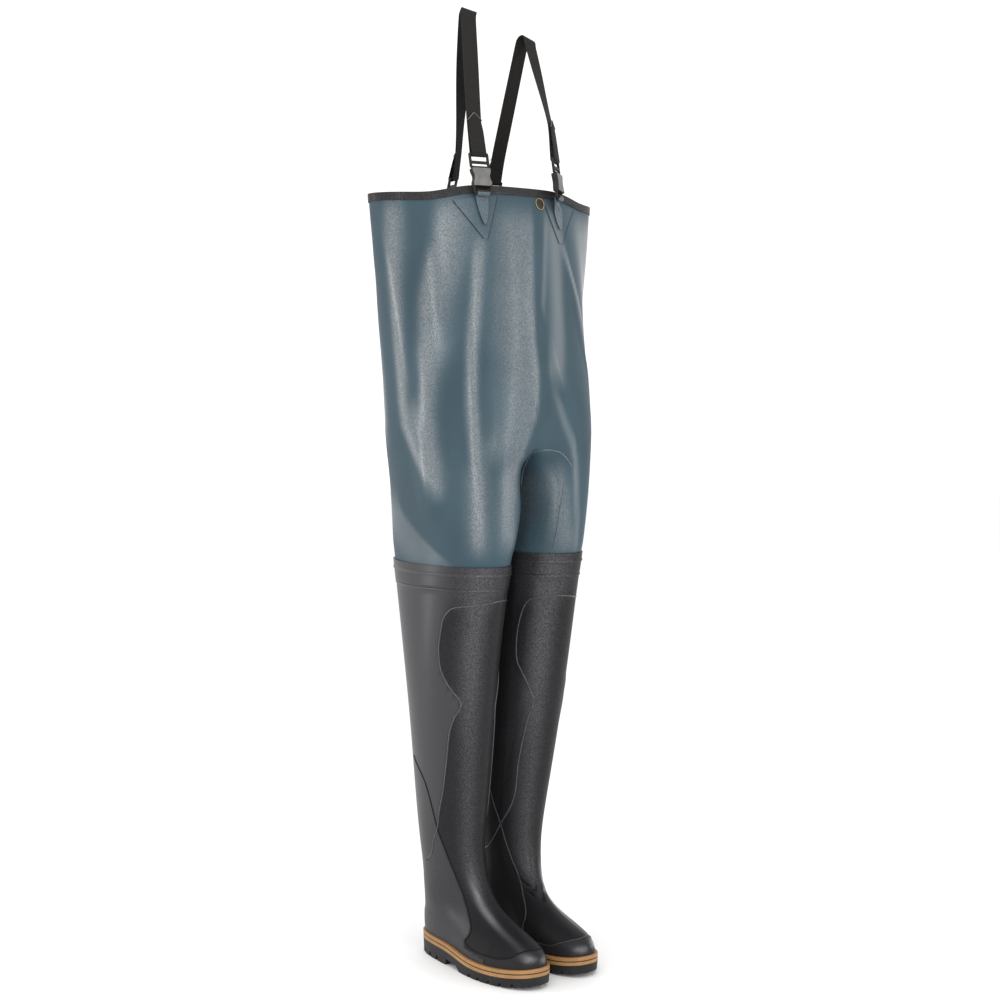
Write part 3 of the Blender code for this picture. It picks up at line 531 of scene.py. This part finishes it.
def copy_of(node, name):
    """A welded copy of a solid, its triangles joined into quads."""
    piece = frame["nodes"][node].copy()
    piece.data = piece.data.copy()
    piece.name = name
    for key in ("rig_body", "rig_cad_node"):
        del piece[key]
    piece.parent = None
    bpy.context.scene.collection.objects.link(piece)
    piece.data.materials.clear()
    focus(piece)
    bpy.ops.mesh.customdata_custom_splitnormals_clear()
    bpy.ops.object.mode_set(mode="EDIT")
    bpy.ops.mesh.select_all(action="SELECT")
    bpy.ops.mesh.remove_doubles(threshold=0.00002)
    bpy.ops.mesh.tris_convert_to_quads(face_threshold=math.radians(40), shape_threshold=math.radians(60))
    bpy.ops.object.mode_set(mode="OBJECT")
    return piece


def crease(piece, degrees, weight=1.0):
    """Keep edges that turn by more than an angle crisp under subdivision."""
    shape = bmesh.new()
    shape.from_mesh(piece.data)
    layer = shape.edges.layers.float.get("crease_edge") or shape.edges.layers.float.new("crease_edge")
    for edge in shape.edges:
        if len(edge.link_faces) == 2 and edge.calc_face_angle() > math.radians(degrees):
            edge[layer] = weight
    shape.to_mesh(piece.data)
    shape.free()


def points_of(piece):
    """A mesh's points as rows of numbers."""
    flat = np.empty(len(piece.data.vertices) * 3, np.float32)
    piece.data.vertices.foreach_get("co", flat)
    return flat.reshape(-1, 3).astype(float)


def move_points(piece, points):
    piece.data.vertices.foreach_set("co", points.astype(np.float32).ravel())
    piece.data.update()


def ease(value):
    """From 0 to 1 with soft ends."""
    value = np.clip(value, 0.0, 1.0)
    return value * value * (3 - 2 * value)


class Around:
    """Points of the trouser, or of what is fixed to it, seen round its axis."""

    def __init__(self, points):
        self.x, self.y, self.z = points[:, 0], points[:, 1] - AXIS_Y, points[:, 2]
        self.turn = np.degrees(np.arctan2(self.x, -self.y))
        self.radius = np.hypot(self.x, self.y)

    def beside(self, path, below, above, soft):
        """How far round from a line of turns and heights each point lies, and the line's strength there."""
        turns, heights = np.array(path[::-1], float).T
        off = (self.turn - np.interp(self.z, heights, turns) + 180) % 360 - 180
        ends = ease((self.z - heights[0] + below) / soft) * ease((heights[-1] + above - self.z) / soft)
        return self.radius * np.radians(off), ends


def folded(points, strength):
    """Points moved by the trouser's folds."""
    here = Around(points)
    rise = np.zeros(len(points))
    for _, width, height, path in FOLDS:
        off, ends = here.beside(path, 0.07, 0.07, 0.09)
        rise += height * ends * np.exp(-((off / width) ** 2))
    rise *= strength * (1 - 0.75 * ease((here.z - FADE_Z[0]) / (FADE_Z[1] - FADE_Z[0])))
    # no folds where the legs go into the boots, nor between the legs
    rise *= ease((here.z - 0.735) / 0.06)
    rise *= np.where(here.z < 0.95, ease((np.abs(here.x) - 0.012) / 0.035), 1.0)
    moved = points.copy()
    moved[:, 0] += rise * here.x / here.radius
    moved[:, 1] += rise * here.y / here.radius
    return moved


def shining(points, kind):
    """How strongly the painted highlights of the coating shine at points."""
    here = Around(points)
    dull = np.ones(len(points))
    for which, strength, left, right, path in STREAKS:
        if which == kind:
            off, ends = here.beside(path, 0.04, 0.03, 0.06)
            width = np.where(off < 0, left, right)
            power = np.where(width > BROAD, 4.5, 2.4)
            dull *= 1 - strength * ends * np.exp(-np.abs(off / width) ** power)
    return 1 - dull


def write_shine(piece, points, share=1.0, least=0.0):
    """Write the coating's two kinds of painted shine on a piece."""
    write(piece, "sheen", least + share * shining(points, "grained"))
    write(piece, "painted_reflection", share * shining(points, "smooth"))


def write(piece, name, values):
    """Keep a number per point on the mesh, for its material."""
    layer = piece.data.attributes.new(name, "FLOAT", "POINT")
    layer.data.foreach_set("value", np.asarray(values, np.float32))


def line_inside(piece, inner):
    """Give the inner wall of a shell the lining. The rule takes a face's middle and normal."""
    for face in piece.data.polygons:
        face.material_index = 1 if inner(face.center, face.normal) else 0


def tree_of(piece):
    """A piece's faces, ready for finding the nearest place on them."""
    mesh = piece.data
    return BVHTree.FromPolygons([v.co for v in mesh.vertices], [tuple(p.vertices) for p in mesh.polygons])


def bead(name, paths, radius, closed=False):
    """Rounded moulded lines along rows of points, as a bevelled curve made into a mesh."""
    curve = bpy.data.curves.new(name, "CURVE")
    curve.dimensions = "3D"
    curve.bevel_depth = radius
    curve.bevel_resolution = 2
    curve.use_fill_caps = True
    for path in paths:
        spline = curve.splines.new("POLY")
        spline.points.add(len(path) - 1)
        for spot, point in zip(spline.points, path):
            spot.co = (*point, 1)
        spline.use_cyclic_u = closed
    piece = bpy.data.objects.new(name, curve)
    bpy.context.scene.collection.objects.link(piece)
    focus(piece)
    bpy.ops.object.convert(target="MESH")
    return bpy.context.view_layer.objects.active


def join(pieces, name):
    """Several meshes as one piece."""
    focus(pieces[0])
    for piece in pieces[1:]:
        piece.select_set(True)
    bpy.ops.object.join()
    pieces[0].name = name
    return pieces[0]


class Boot:
    """Places on a dressed boot: from an angle round its section and a height to its outer face."""

    def __init__(self, piece, side):
        ends = np.empty(len(piece.data.edges) * 2, np.int32)
        piece.data.edges.foreach_get("vertices", ends)
        self.ends = points_of(piece)[ends.reshape(-1, 2)]
        self.tree = tree_of(piece)
        self.side = side

    def section(self, z):
        """Middle and half size of the outline at a height, from the edges that cross it."""
        first, last = self.ends[:, 0], self.ends[:, 1]
        crossing = (first[:, 2] - z) * (last[:, 2] - z) <= 0
        first, last = first[crossing], last[crossing]
        share = (z - first[:, 2]) / np.where(last[:, 2] == first[:, 2], 1, last[:, 2] - first[:, 2])
        found = first + (last - first) * share[:, None]
        low, high = found.min(0), found.max(0)
        return (low + high) / 2, (high - low) / 2

    def at(self, angle, z, sunk=0.0):
        """The place on the outer face at an angle and a height."""
        middle, half = self.section(z)
        turn = math.radians(angle)
        way = Vector((self.side * half[0] * math.sin(turn), -half[1] * math.cos(turn), 0))
        far = Vector((middle[0], middle[1], z)) + way * 1.6
        spot, normal, _, _ = self.tree.ray_cast(far, -way)
        return spot - normal * sunk

    def line(self, rows, steps):
        """Points of a smooth line through rows of angle and height."""
        return [self.at(a, z) for a, z in smooth_rows(rows, steps)]

    def angles(self, points):
        """Angle from the toe of each point, outer side positive, measured round its own section."""
        levels = np.linspace(points[:, 2].min() + 0.001, points[:, 2].max() - 0.001, 90)
        rows = [np.concatenate(self.section(z)) for z in levels]
        cx, cy, _, hx, hy, _ = [np.interp(points[:, 2], levels, column) for column in np.array(rows).T]
        across = self.side * (points[:, 0] - cx) / hx
        return np.degrees(np.arctan2(across, -(points[:, 1] - cy) / hy))


def smooth_rows(rows, steps):
    """Rows of numbers, filled in smoothly between."""
    rows = np.array(rows, float)
    slope = np.gradient(rows, axis=0)
    fine = np.linspace(0, len(rows) - 1, steps)
    k = np.minimum(fine.astype(int), len(rows) - 2)
    t = (fine - k)[:, None]
    near = rows[k] * (2 * t**3 - 3 * t**2 + 1) + slope[k] * (t**3 - 2 * t**2 + t)
    return near + rows[k + 1] * (3 * t**2 - 2 * t**3) + slope[k + 1] * (t**3 - t**2)


class WADER_OT_trouser(bpy.types.Operator):
    """Trouser: the solid subdivided, with its upright folds drawn in and its inside lined"""

    bl_idname = "wader.trouser"
    bl_label = "Trouser"

    def execute(self, context):
        sizes = context.scene.wader_sizes
        piece = copy_of("trouser_body", "trouser")
        wear(piece, "cloth", "lining")

        def inner(spot, normal):
            axis = Vector((0, AXIS_Y))
            if spot.z < FORK_Z:
                axis = Vector((math.copysign(LEG_MIDDLE[0], spot.x), LEG_MIDDLE[1]))
            out = spot.xy - axis
            return out.dot(normal.xy) < -0.25 * out.length

        line_inside(piece, inner)
        crease(piece, 60)
        subdivide(piece, sizes.cloth_levels)
        points = points_of(piece)
        write_shine(piece, points)
        move_points(piece, folded(points, sizes.fold))
        smooth(piece, 50)
        seat(piece, "coated_cloth", "trouser_body")
        tree = tree_of(piece)
        welts = []
        for rows, steps in ((FORK_WELT, 60), (INSEAM, 30)):
            welts.append([tree.find_nearest(Vector(spot))[0] for spot in smooth_rows(rows, steps)])
        welt = bead("fork_welts", welts, WELT_RADIUS)
        wear(welt, "cloth")
        # Painted sheen on the welts.
        write(welt, "sheen", np.full(len(welt.data.vertices), 0.30))
        write(welt, "painted_reflection", np.full(len(welt.data.vertices), 0.15))
        smooth(welt, 60)
        seat(welt, "coated_cloth")
        return {"FINISHED"}


class WADER_OT_binding(bpy.types.Operator):
    """Binding: the tape folded over the rim, with softened edges"""

    bl_idname = "wader.binding"
    bl_label = "Collar binding"

    def execute(self, context):
        sizes = context.scene.wader_sizes
        piece = copy_of("collar_binding", "binding")
        wear(piece, "binding")
        crease(piece, 50, 0.55)
        subdivide(piece, 2)
        points = points_of(piece)
        # Painted sheen on the binding, stronger along the cloth's streaks.
        write(piece, "sheen", 0.30 + 0.35 * shining(points, "grained"))
        move_points(piece, folded(points, sizes.fold))
        smooth(piece, 60)
        seat(piece, "black_trim", "collar_binding")
        return {"FINISHED"}


class WADER_OT_boots(bpy.types.Operator):
    """Boots: uppers subdivided and creased at the ankle, with moulded lines and cuff ridges"""

    bl_idname = "wader.boots"
    bl_label = "Boots"

    def upper(self, name, side, levels):
        """A boot's upper, lined, with the creases of its ankle."""
        piece = copy_of("boot_upper_" + name, "boot_" + name)
        wear(piece, "rubber", "lining")
        tree = tree_of(piece)
        line_inside(piece, lambda spot, normal: tree.ray_cast(spot + normal * 0.004, normal, 0.6)[0])
        crease(piece, 36)
        subdivide(piece, levels)
        points = points_of(piece)
        angle = Boot(piece, side).angles(points)
        push = np.zeros(len(points))
        for which, middle, z, reach, slope, width, depth in ANKLE_CREASES:
            if which == name:
                off = (points[:, 2] - z - slope * (angle - middle) ** 2 * 0.5) / width
                ends = np.exp(-(((angle - middle) / reach) ** 2))
                push -= depth * (1 - 1.1 * off**2) * np.exp(-(off**2)) * ends
        normals = np.array([v.normal for v in piece.data.vertices])
        away = points - (side * FOOT_MIDDLE[0], *FOOT_MIDDLE[1:])
        push *= np.sign((normals * away).sum(1))
        move_points(piece, points + normals * push[:, None])
        smooth(piece, 50)
        return seat(piece, "boot_rubber", "boot_upper_" + name)

    def paint_light(self, piece, boot, share=1.0):
        """Painted light on the rubber: a smooth reflection on the outer panel, a highlight streak on the
        shin, glints on the toe.
        """
        points = points_of(piece)
        z = points[:, 2]
        angle = boot.angles(points)
        edge = np.array(PANEL_EDGE)
        soft = np.interp(z, (0.615, 0.655), (3.0, 30.0))
        side_edge = np.interp(z, edge[:, 0], edge[:, 1])
        panel = ease((angle - side_edge + soft / 2 - 1.5) / soft)
        # Painted reflection: strong on the outer panel, faint on the inner side that faces the other boot,
        # both evened out towards the back.
        inner = ease((-angle - side_edge) / 3.0)
        back = ease((np.abs(angle) - 135) / 45)
        painted_reflection = panel * (0.56 - 0.30 * back) + inner * (0.07 + 0.19 * back)
        # Painted shade: the reflection is darker towards the bottom.
        painted_reflection *= 0.55 + 0.45 * ease((z - 0.10) / 0.20)
        middle = np.interp(z, SHIN_HEIGHTS, SHIN_STREAK[boot.side])
        wide = np.interp(z, (0.63, 0.67), (15.0, 26.0))
        streak = np.exp(-(((angle - middle) / wide) ** 2)) * ease((z - 0.10) / 0.05)
        streak *= 0.60 + 0.40 * ease((z - 0.35) / 0.2)
        sheen = (0.03 + 0.13 * ease((z - 0.08) / 0.1) + 0.80 * streak) * (1 - panel)
        sheen += 0.12 * panel * ease((0.25 - z) / 0.1)
        # Painted shade: less shine on the inner side, which faces the other boot.
        sheen *= np.where(angle < -62, 0.3, 1.0)
        # Painted reflection: a lighter band on the toe cap.
        cap = np.array([row for row in HEEL_LINE if abs(row[0]) < 81 and row[1] < 0.066])
        painted_reflection += 0.14 * ease((np.interp(angle, cap[:, 0], cap[:, 1]) - z) / 0.002) * (np.abs(angle) < 82)
        # Painted glints on the toe and the instep.
        for spot, top, wide, high in GLINTS:
            glint = np.exp(-(((angle - spot) / wide) ** 2) - (((z - top) / high) ** 2))
            painted_reflection = np.maximum(painted_reflection, 0.90 * glint)
            sheen = np.maximum(sheen, 0.80 * glint)
        write(piece, "sheen", share * sheen)
        write(piece, "painted_reflection", share * painted_reflection)

    def execute(self, context):
        sizes = context.scene.wader_sizes
        for name, side in SIDES.items():
            piece = self.upper(name, side, sizes.boot_levels)
            boot = Boot(piece, side)
            self.paint_light(piece, boot)
            paths = [boot.line(SHIN_LINE, 260), boot.line(HEEL_LINE, 260)]
            lines = bead("moulded_lines_" + name, paths, sizes.line_radius)
            seat(lines, "boot_rubber", "raised_seams_" + name)
            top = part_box("boot_upper_" + name)[1].z
            rings = []
            for drop, radius, sunk in CUFF_RIDGES:
                path = [boot.at(k * 2.5, top - drop, sunk) for k in range(144)]
                rings.append(bead("ring", [path], radius, True))
            turn, upper, lower = CUFF_SEAM
            seam = boot.line(((turn, top - upper), (turn, top - lower)), 8)
            rings.append(bead("cuff_seam", [seam], CUFF_SEAM_RADIUS))
            rings = join(rings, "cuff_ridges_" + name)
            seat(rings, "boot_rubber")
            # Painted highlights on the cuff ridges, a little stronger than on the upper.
            self.paint_light(rings, boot, 1.2)
            # Painted light on the moulded lines: the shin line lit, the heel line dark on the right boot and
            # lit on the left.
            shin = np.arange(len(lines.data.vertices)) < len(lines.data.vertices) / 2
            write(lines, "sheen", np.where(shin, 0.9, 0.4 if side > 0 else 0.0))
            write(lines, "painted_reflection", np.where(shin, 0.3, 0.2 if side > 0 else 0.0))
            for made in (lines, rings):
                wear(made, "rubber")
                smooth(made, 60)
        return {"FINISHED"}


def toe_lift(ahead):
    """How far the sole is off the floor, this far ahead of the leg axis."""
    start, run, rise = TOE_SPRING
    return rise * np.maximum(0.0, (ahead - start) / run) ** 2


class WADER_OT_soles(bpy.types.Operator):
    """Soles: ribbed tan stripe, lugged outsole cut from a block, and insoles"""

    bl_idname = "wader.soles"
    bl_label = "Soles"

    def outsole(self, name, stripe):
        """The stripe's underside drawn down to the floor, with the toe's spring."""
        piece = stripe.copy()
        piece.data = stripe.data.copy()
        piece.name = "outsole_dressed_" + name
        bpy.context.scene.collection.objects.link(piece)
        piece.parent = None
        piece.data.materials.clear()
        focus(piece)
        shape = bmesh.new()
        shape.from_mesh(piece.data)
        shape.faces.ensure_lookup_table()
        keep = {f for f in shape.faces if f.normal.z < -0.75}
        bmesh.ops.delete(shape, geom=[f for f in shape.faces if f not in keep], context="FACES")
        shape.to_mesh(piece.data)
        shape.free()
        bpy.ops.object.mode_set(mode="EDIT")
        bpy.ops.mesh.select_mode(type="FACE")
        bpy.ops.mesh.select_all(action="SELECT")
        bpy.ops.mesh.extrude_region_move(TRANSFORM_OT_translate={"value": (0, 0, -0.02)})
        bpy.ops.object.mode_set(mode="OBJECT")
        points = points_of(piece)
        low = np.array([v.select for v in piece.data.vertices])
        points[low, 2] = toe_lift(AXIS_Y - points[low, 1])
        middle = (points[low].min(0) + points[low].max(0)) / 2
        points[low, :2] = middle[:2] + (points[low, :2] - middle[:2]) * SOLE_DRAFT
        move_points(piece, points)
        bpy.ops.object.mode_set(mode="EDIT")
        bpy.ops.mesh.select_all(action="SELECT")
        bpy.ops.mesh.normals_make_consistent(inside=False)
        bpy.ops.object.mode_set(mode="OBJECT")
        return piece

    def cutter(self, middle, half, front, back, top, under=0.01):
        """A block across the sole, from under the floor to its top."""
        low = (middle - half, front, -under)
        high = (middle + half, back, top)
        bpy.ops.object.select_all(action="DESELECT")
        centre = [(a + b) / 2 for a, b in zip(low, high)]
        bpy.ops.mesh.primitive_cube_add(size=1, location=centre, scale=[b - a for a, b in zip(low, high)])
        bpy.ops.object.transform_apply(location=True, rotation=True, scale=True)
        return bpy.context.view_layer.objects.active

    def execute(self, context):
        for name, side in SIDES.items():
            stripe = copy_of("midsole_" + name, "stripe_" + name)
            wear(stripe, "stripe")
            crease(stripe, 36, 0.75)
            subdivide(stripe, 2)
            write(stripe, "flank", [abs(v.normal.z) for v in stripe.data.vertices])
            smooth(stripe, 50)
            seat(stripe, "tan_rubber", "midsole_" + name)
            tread = self.outsole(name, stripe)
            wear(tread, "tread")
            middle = side * SOLE_X
            cutters = []
            for y in GROOVES:
                lift = toe_lift(-y) + (HEEL_GROOVE_MORE if y > -0.01 else 0.0)
                front, back = y + AXIS_Y - GROOVE_HALF, y + AXIS_Y + GROOVE_HALF
                cutters.append(self.cutter(middle, 0.09, front, back, GROOVE_TOP + lift))
            arch = self.cutter(middle, 0.091, ARCH[0] + AXIS_Y, ARCH[1] + AXIS_Y, ARCH_BACK[1], 0.011)
            for v in arch.data.vertices:
                if v.co.z > 0:
                    y, v.co.z = ARCH_BACK if v.co.y > AXIS_Y + sum(ARCH) / 2 else ARCH_FRONT
                    v.co.y = AXIS_Y + y
            cutters.append(arch)
            for front, back in SPLITS:
                cutters.append(self.cutter(middle, SPLIT_HALF, front + AXIS_Y, back + AXIS_Y, SPLIT_TOP))
            bpy.ops.object.select_all(action="DESELECT")
            block = join(cutters, "tread_cutter")
            apply(tread, "BOOLEAN", object=block, operation="DIFFERENCE", solver="EXACT", use_self=True)
            bpy.data.objects.remove(block)
            smooth(tread, 35)
            seat(tread, "outsole_rubber", "outsole_" + name)
            insole = copy_of("insole_" + name, "insole_dressed_" + name)
            wear(insole, "felt")
            crease(insole, 50, 0.6)
            subdivide(insole, 2)
            smooth(insole, 50)
            seat(insole, "insole_felt", "insole_" + name)
        return {"FINISHED"}


class WADER_OT_braces(bpy.types.Operator):
    """Braces: woven straps with their weave laid along them, and edges on their pointed ends"""

    bl_idname = "wader.braces"
    bl_label = "Braces"

    def rings(self, piece):
        """The tape's square rings, from its front end to its back end. Its corner edges make a closed loop
        round either face, and each loop is folded where its two halves lie closest."""
        spots = [v.co.copy() for v in piece.data.vertices]
        shape = bmesh.new()
        shape.from_mesh(piece.data)
        near = {}
        for edge in shape.edges:
            if edge.calc_face_angle() > math.radians(60):
                a, b = (v.index for v in edge.verts)
                near.setdefault(a, []).append(b)
                near.setdefault(b, []).append(a)
        shape.free()
        rows = []
        left = set(near)
        while left:
            loop = [min(left), near[min(left)][0]]
            while loop[-1] != loop[0]:
                loop += [v for v in near[loop[-1]] if v != loop[-2]]
            loop.pop()
            left -= set(loop)
            half = len(loop) // 2
            folds = [[(loop[(t + k) % len(loop)], loop[t - 1 - k]) for k in range(half)] for t in range(half)]
            fold = min(folds, key=lambda pairs: sum((spots[a] - spots[b]).length for a, b in pairs))
            for row in zip(*fold):
                rows.append(row if spots[row[0]].y < spots[row[-1]].y else row[::-1])
        if len(rows) != 4 or len({len(row) for row in rows}) != 1:
            raise RuntimeError("the tape isn't a row of square rings")
        middle = [spots[row[len(row) // 2]] for row in rows]
        if (middle[2] - middle[0]).length > (middle[3] - middle[0]).length:
            rows[2], rows[3] = rows[3], rows[2]
        return spots, list(zip(*rows))

    def lay_weave(self, piece, spots, rings):
        """Write how far along and across the tape each point lies, and where it hangs in the shade."""
        along = np.zeros(len(spots), np.float32)
        across = np.zeros(len(spots), np.float32)
        run = 0.0
        before = None
        for ring in rings:
            centre = sum((spots[v] for v in ring), Vector()) / 4
            run += (centre - before).length if before else 0.0
            before = centre
            for v, side in zip(ring, (-1, 1, -1, 1)):
                along[v] = run
                across[v] = side * (spots[v] - centre).length
        write(piece, "along", along)
        write(piece, "across", across)
        # Painted shade on the back run, deeper on the right brace than on the left.
        dim = 0.70 if spots[0].x < 0 else 0.25
        write(piece, "shaded", [dim * float(ease((spot.y - AXIS_Y + 0.005) / 0.03)) for spot in spots])

    def turned_end(self, spots, tip, shoulder):
        """The pointed edge of a strap's turned-back end, along its outer face."""
        def outer(pair):
            return max((spots[v] for v in pair), key=lambda spot: math.hypot(spot.x, spot.y - AXIS_Y))
        return [outer(shoulder[::2]), outer(tip[::2]), outer(tip[1::2]), outer(shoulder[1::2])]

    def execute(self, context):
        for name in SIDES:
            piece = copy_of("strap_" + name, "brace_" + name)
            wear(piece, "webbing")
            spots, rings = self.rings(piece)
            self.lay_weave(piece, spots, rings)
            crease(piece, 60, 0.9)
            subdivide(piece, 3)
            smooth(piece, 50)
            seat(piece, "webbing", "strap_" + name)
            ends = [self.turned_end(spots, *pair) for pair in (rings[:2], rings[:-3:-1])]
            edge = bead("brace_ends_" + name, ends, TIP_RADIUS)
            # Light grey along the pointed edge: a painted highlight.
            wear(edge, "satin")
            smooth(edge, 40)
            seat(edge, "webbing", "strap_" + name)
        return {"FINISHED"}


class WADER_OT_buckles(bpy.types.Operator):
    """Buckles: bodies and clips with rounded edges, and the cloth tongues that hold them"""

    bl_idname = "wader.buckles"
    bl_label = "Buckles"

    def execute(self, context):
        sizes = context.scene.wader_sizes
        for end in ENDS:
            for part in ("body", "clip"):
                node = "buckle_%s_%s" % (part, end)
                piece = copy_of(node, "%s_dressed" % node)
                wear(piece, "buckle", "satin")
                apply(piece, "BEVEL", width=sizes.buckle_round, segments=3, limit_method="ANGLE",
                      angle_limit=math.radians(30))
                # Painted sheen: the upper part of the body's broad faces in the lighter grey plastic.
                if part == "body":
                    face = max(piece.data.polygons, key=lambda each: each.area).normal.copy()
                    low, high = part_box(node)
                    for each in piece.data.polygons:
                        shown = each.center.z > low.z + 0.36 * (high.z - low.z)
                        each.material_index = 1 if shown and abs(each.normal.dot(face)) > 0.9 else 0
                smooth(piece, 35)
                seat(piece, "black_trim", node)
            node = "buckle_tab_" + end
            piece = copy_of(node, "tongue_" + end)
            wear(piece, "cloth", "binding")
            crease(piece, 50, 0.9)
            subdivide(piece, 2)
            for face in piece.data.polygons:
                face.material_index = 1 if face.center.z > RIM_Z - 0.012 else 0
            points = points_of(piece)
            # Painted sheen on the tongues, from the cloth's streaks and a little everywhere.
            write_shine(piece, points, 0.5, 0.35)
            move_points(piece, folded(points, sizes.fold))
            smooth(piece, 50)
            seat(piece, "coated_cloth", node)
        return {"FINISHED"}


class WADER_OT_patches(bpy.types.Operator):
    """Patches and badge: laid on the folded cloth"""

    bl_idname = "wader.patches"
    bl_label = "Patches and badge"

    def laid(self, node, name, step, cuts):
        """A copy of a flat piece, cut finely and settled on the trouser's face."""
        piece = copy_of(node, name)
        focus(piece)
        bpy.ops.object.mode_set(mode="EDIT")
        bpy.ops.mesh.select_all(action="SELECT")
        bpy.ops.mesh.quads_convert_to_tris()
        bpy.ops.mesh.subdivide(number_cuts=cuts)
        bpy.ops.object.mode_set(mode="OBJECT")
        points = points_of(piece)
        lifted = folded(points, bpy.context.scene.wader_sizes.fold)
        for k, point in enumerate(points):
            outer = self.solid.find_nearest(Vector(point))[3] > 0.0011
            spot, normal, _, _ = self.cloth.find_nearest(Vector(lifted[k]))
            points[k] = spot + normal * (step if outer else -0.0002)
        move_points(piece, points)
        return piece

    def stands(self, edge):
        """Whether an edge of a laid patch is on its outer face."""
        return all((v.co - self.cloth.find_nearest(v.co)[0]).length > 0.0006 for v in edge.verts)

    def execute(self, context):
        step = context.scene.wader_sizes.patch_step
        self.solid = tree_of(frame["nodes"]["trouser_body"])
        self.cloth = tree_of(bpy.data.objects["trouser"])
        sharp = math.radians(50)
        for end in ENDS:
            node = "strap_patch_" + end
            piece = self.laid(node, "patch_" + end, step, 5)
            wear(piece, "cloth")
            # Painted sheen on the patches, from the cloth's streaks.
            write_shine(piece, points_of(piece), 0.9, 0.08)
            smooth(piece, 50)
            seat(piece, "coated_cloth", node)
            shape = bmesh.new()
            shape.from_mesh(piece.data)
            rim = [e for e in shape.edges if len(e.link_faces) == 2 and e.calc_face_angle() > sharp]
            steep = [e for e in rim if abs(e.verts[0].co.z - e.verts[1].co.z) > 0.5 * e.calc_length()]
            outer = [[v.co.copy() for v in e.verts] for e in steep if self.stands(e)]
            shape.free()
            # A dark line along the patch's steep outer edges: painted shadow of its step.
            line = bead("patch_edge_" + end, outer, PATCH_EDGE_RADIUS)
            wear(line, "thread_and_painted_shadow")
            smooth(line, 60)
            seat(line, "black_trim")
        badge = self.laid("blank_badge", "badge", 0.0012, 2)
        wear(badge, "badge")
        smooth(badge, 50)
        seat(badge, "black_trim", "blank_badge")
        low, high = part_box("blank_badge")
        middle, normal, _, _ = self.cloth.find_nearest((low + high) / 2)
        across = normal.cross(Vector((0, 0, 1))).normalized()
        up = across.cross(normal)
        reach = (high.z - low.z) / 2 - 0.0006
        ring = []
        for k in range(72):
            turn = math.radians(5 * k)
            spot = middle + (across * math.cos(turn) + up * math.sin(turn)) * reach
            spot, away, _, _ = self.cloth.find_nearest(spot)
            ring.append(spot + away * 0.0010)
        rim = bead("badge_rim", [ring], BADGE_RIM_RADIUS, True)
        wear(rim, "brass")
        smooth(rim, 60)
        seat(rim, "black_trim")
        return {"FINISHED"}


class WADER_OT_stage(bpy.types.Operator):
    """Stage: pale floor, white surround, tall soft lights and the camera"""

    bl_idname = "wader.stage"
    bl_label = "Stage"

    def light(self, name, turn, distance, height, size, power, aim_z):
        """A soft box that faces the leg axis."""
        turn = math.radians(turn)
        lamp = bpy.data.lights.new(name, "AREA")
        lamp.shape = "RECTANGLE"
        lamp.size, lamp.size_y = size
        lamp.energy = power
        rig = bpy.data.objects.new(name, lamp)
        bpy.context.scene.collection.objects.link(rig)
        rig.location = (distance * math.sin(turn), AXIS_Y - distance * math.cos(turn), height)
        rig.rotation_euler = (Vector((0, AXIS_Y, aim_z)) - rig.location).to_track_quat("-Z", "Y").to_euler()

    def execute(self, context):
        scene = context.scene
        bpy.ops.object.select_all(action="DESELECT")
        bpy.ops.mesh.primitive_circle_add(vertices=96, radius=14, fill_type="NGON", location=(0, 0, -0.0004))
        floor = context.view_layer.objects.active
        floor.name = "floor"
        bpy.ops.object.transform_apply(location=True, rotation=True, scale=True)
        paper = Finish("pale floor")
        shade = paper.mix(paper.noise(0.7, 3.0), (0.84, 0.84, 0.84), (0.88, 0.88, 0.88))
        paper.set(Base_Color=shade, Roughness=0.6)
        floor.data.materials.append(paper.material)
        world = bpy.data.worlds.new("white surround")
        world.use_nodes = True
        sky = world.node_tree.nodes["Background"]
        sky.inputs["Color"].default_value = (1, 1, 1, 1)
        sky.inputs["Strength"].default_value = SURROUND
        scene.world = world
        for row in LIGHTS:
            self.light(*row)
        camera = bpy.data.objects.new("camera", bpy.data.cameras.new("camera"))
        scene.collection.objects.link(camera)
        camera.data.lens = scene.wader_sizes.lens
        camera.data.sensor_width = 36
        camera.location = CAMERA_PLACE
        camera.rotation_euler = [math.radians(turn) for turn in CAMERA_TURN]
        scene.camera = camera
        scene.view_settings.view_transform = "Standard"
        return {"FINISHED"}


OPERATORS = (WADER_OT_stage, WADER_OT_trouser, WADER_OT_binding, WADER_OT_boots, WADER_OT_soles,
             WADER_OT_braces, WADER_OT_buckles, WADER_OT_patches)


class WADER_PT_panel(bpy.types.Panel):
    """Lists the pieces"""

    bl_label = "Chest waders"
    bl_idname = "WADER_PT_panel"
    bl_space_type = "VIEW_3D"
    bl_region_type = "UI"
    bl_category = "Waders"

    def draw(self, context):
        for group in (context.scene.wader_sizes, context.scene.wader_colours):
            for name in group.__annotations__:
                self.layout.prop(group, name)
        for operator in OPERATORS:
            self.layout.operator(operator.bl_idname)


CLASSES = (WaderSizes, WaderColours, *OPERATORS, WADER_PT_panel)


def register():
    for each in CLASSES:
        bpy.utils.register_class(each)
    bpy.types.Scene.wader_sizes = PointerProperty(type=WaderSizes)
    bpy.types.Scene.wader_colours = PointerProperty(type=WaderColours)


def unregister():
    del bpy.types.Scene.wader_colours
    del bpy.types.Scene.wader_sizes
    for each in reversed(CLASSES):
        bpy.utils.unregister_class(each)


def main():
    register()
    bpy.ops.wader.stage()
    bpy.ops.wader.trouser()
    bpy.ops.wader.binding()
    bpy.ops.wader.boots()
    bpy.ops.wader.soles()
    bpy.ops.wader.braces()
    bpy.ops.wader.buckles()
    bpy.ops.wader.patches()


if __name__ == "__main__":
    main()
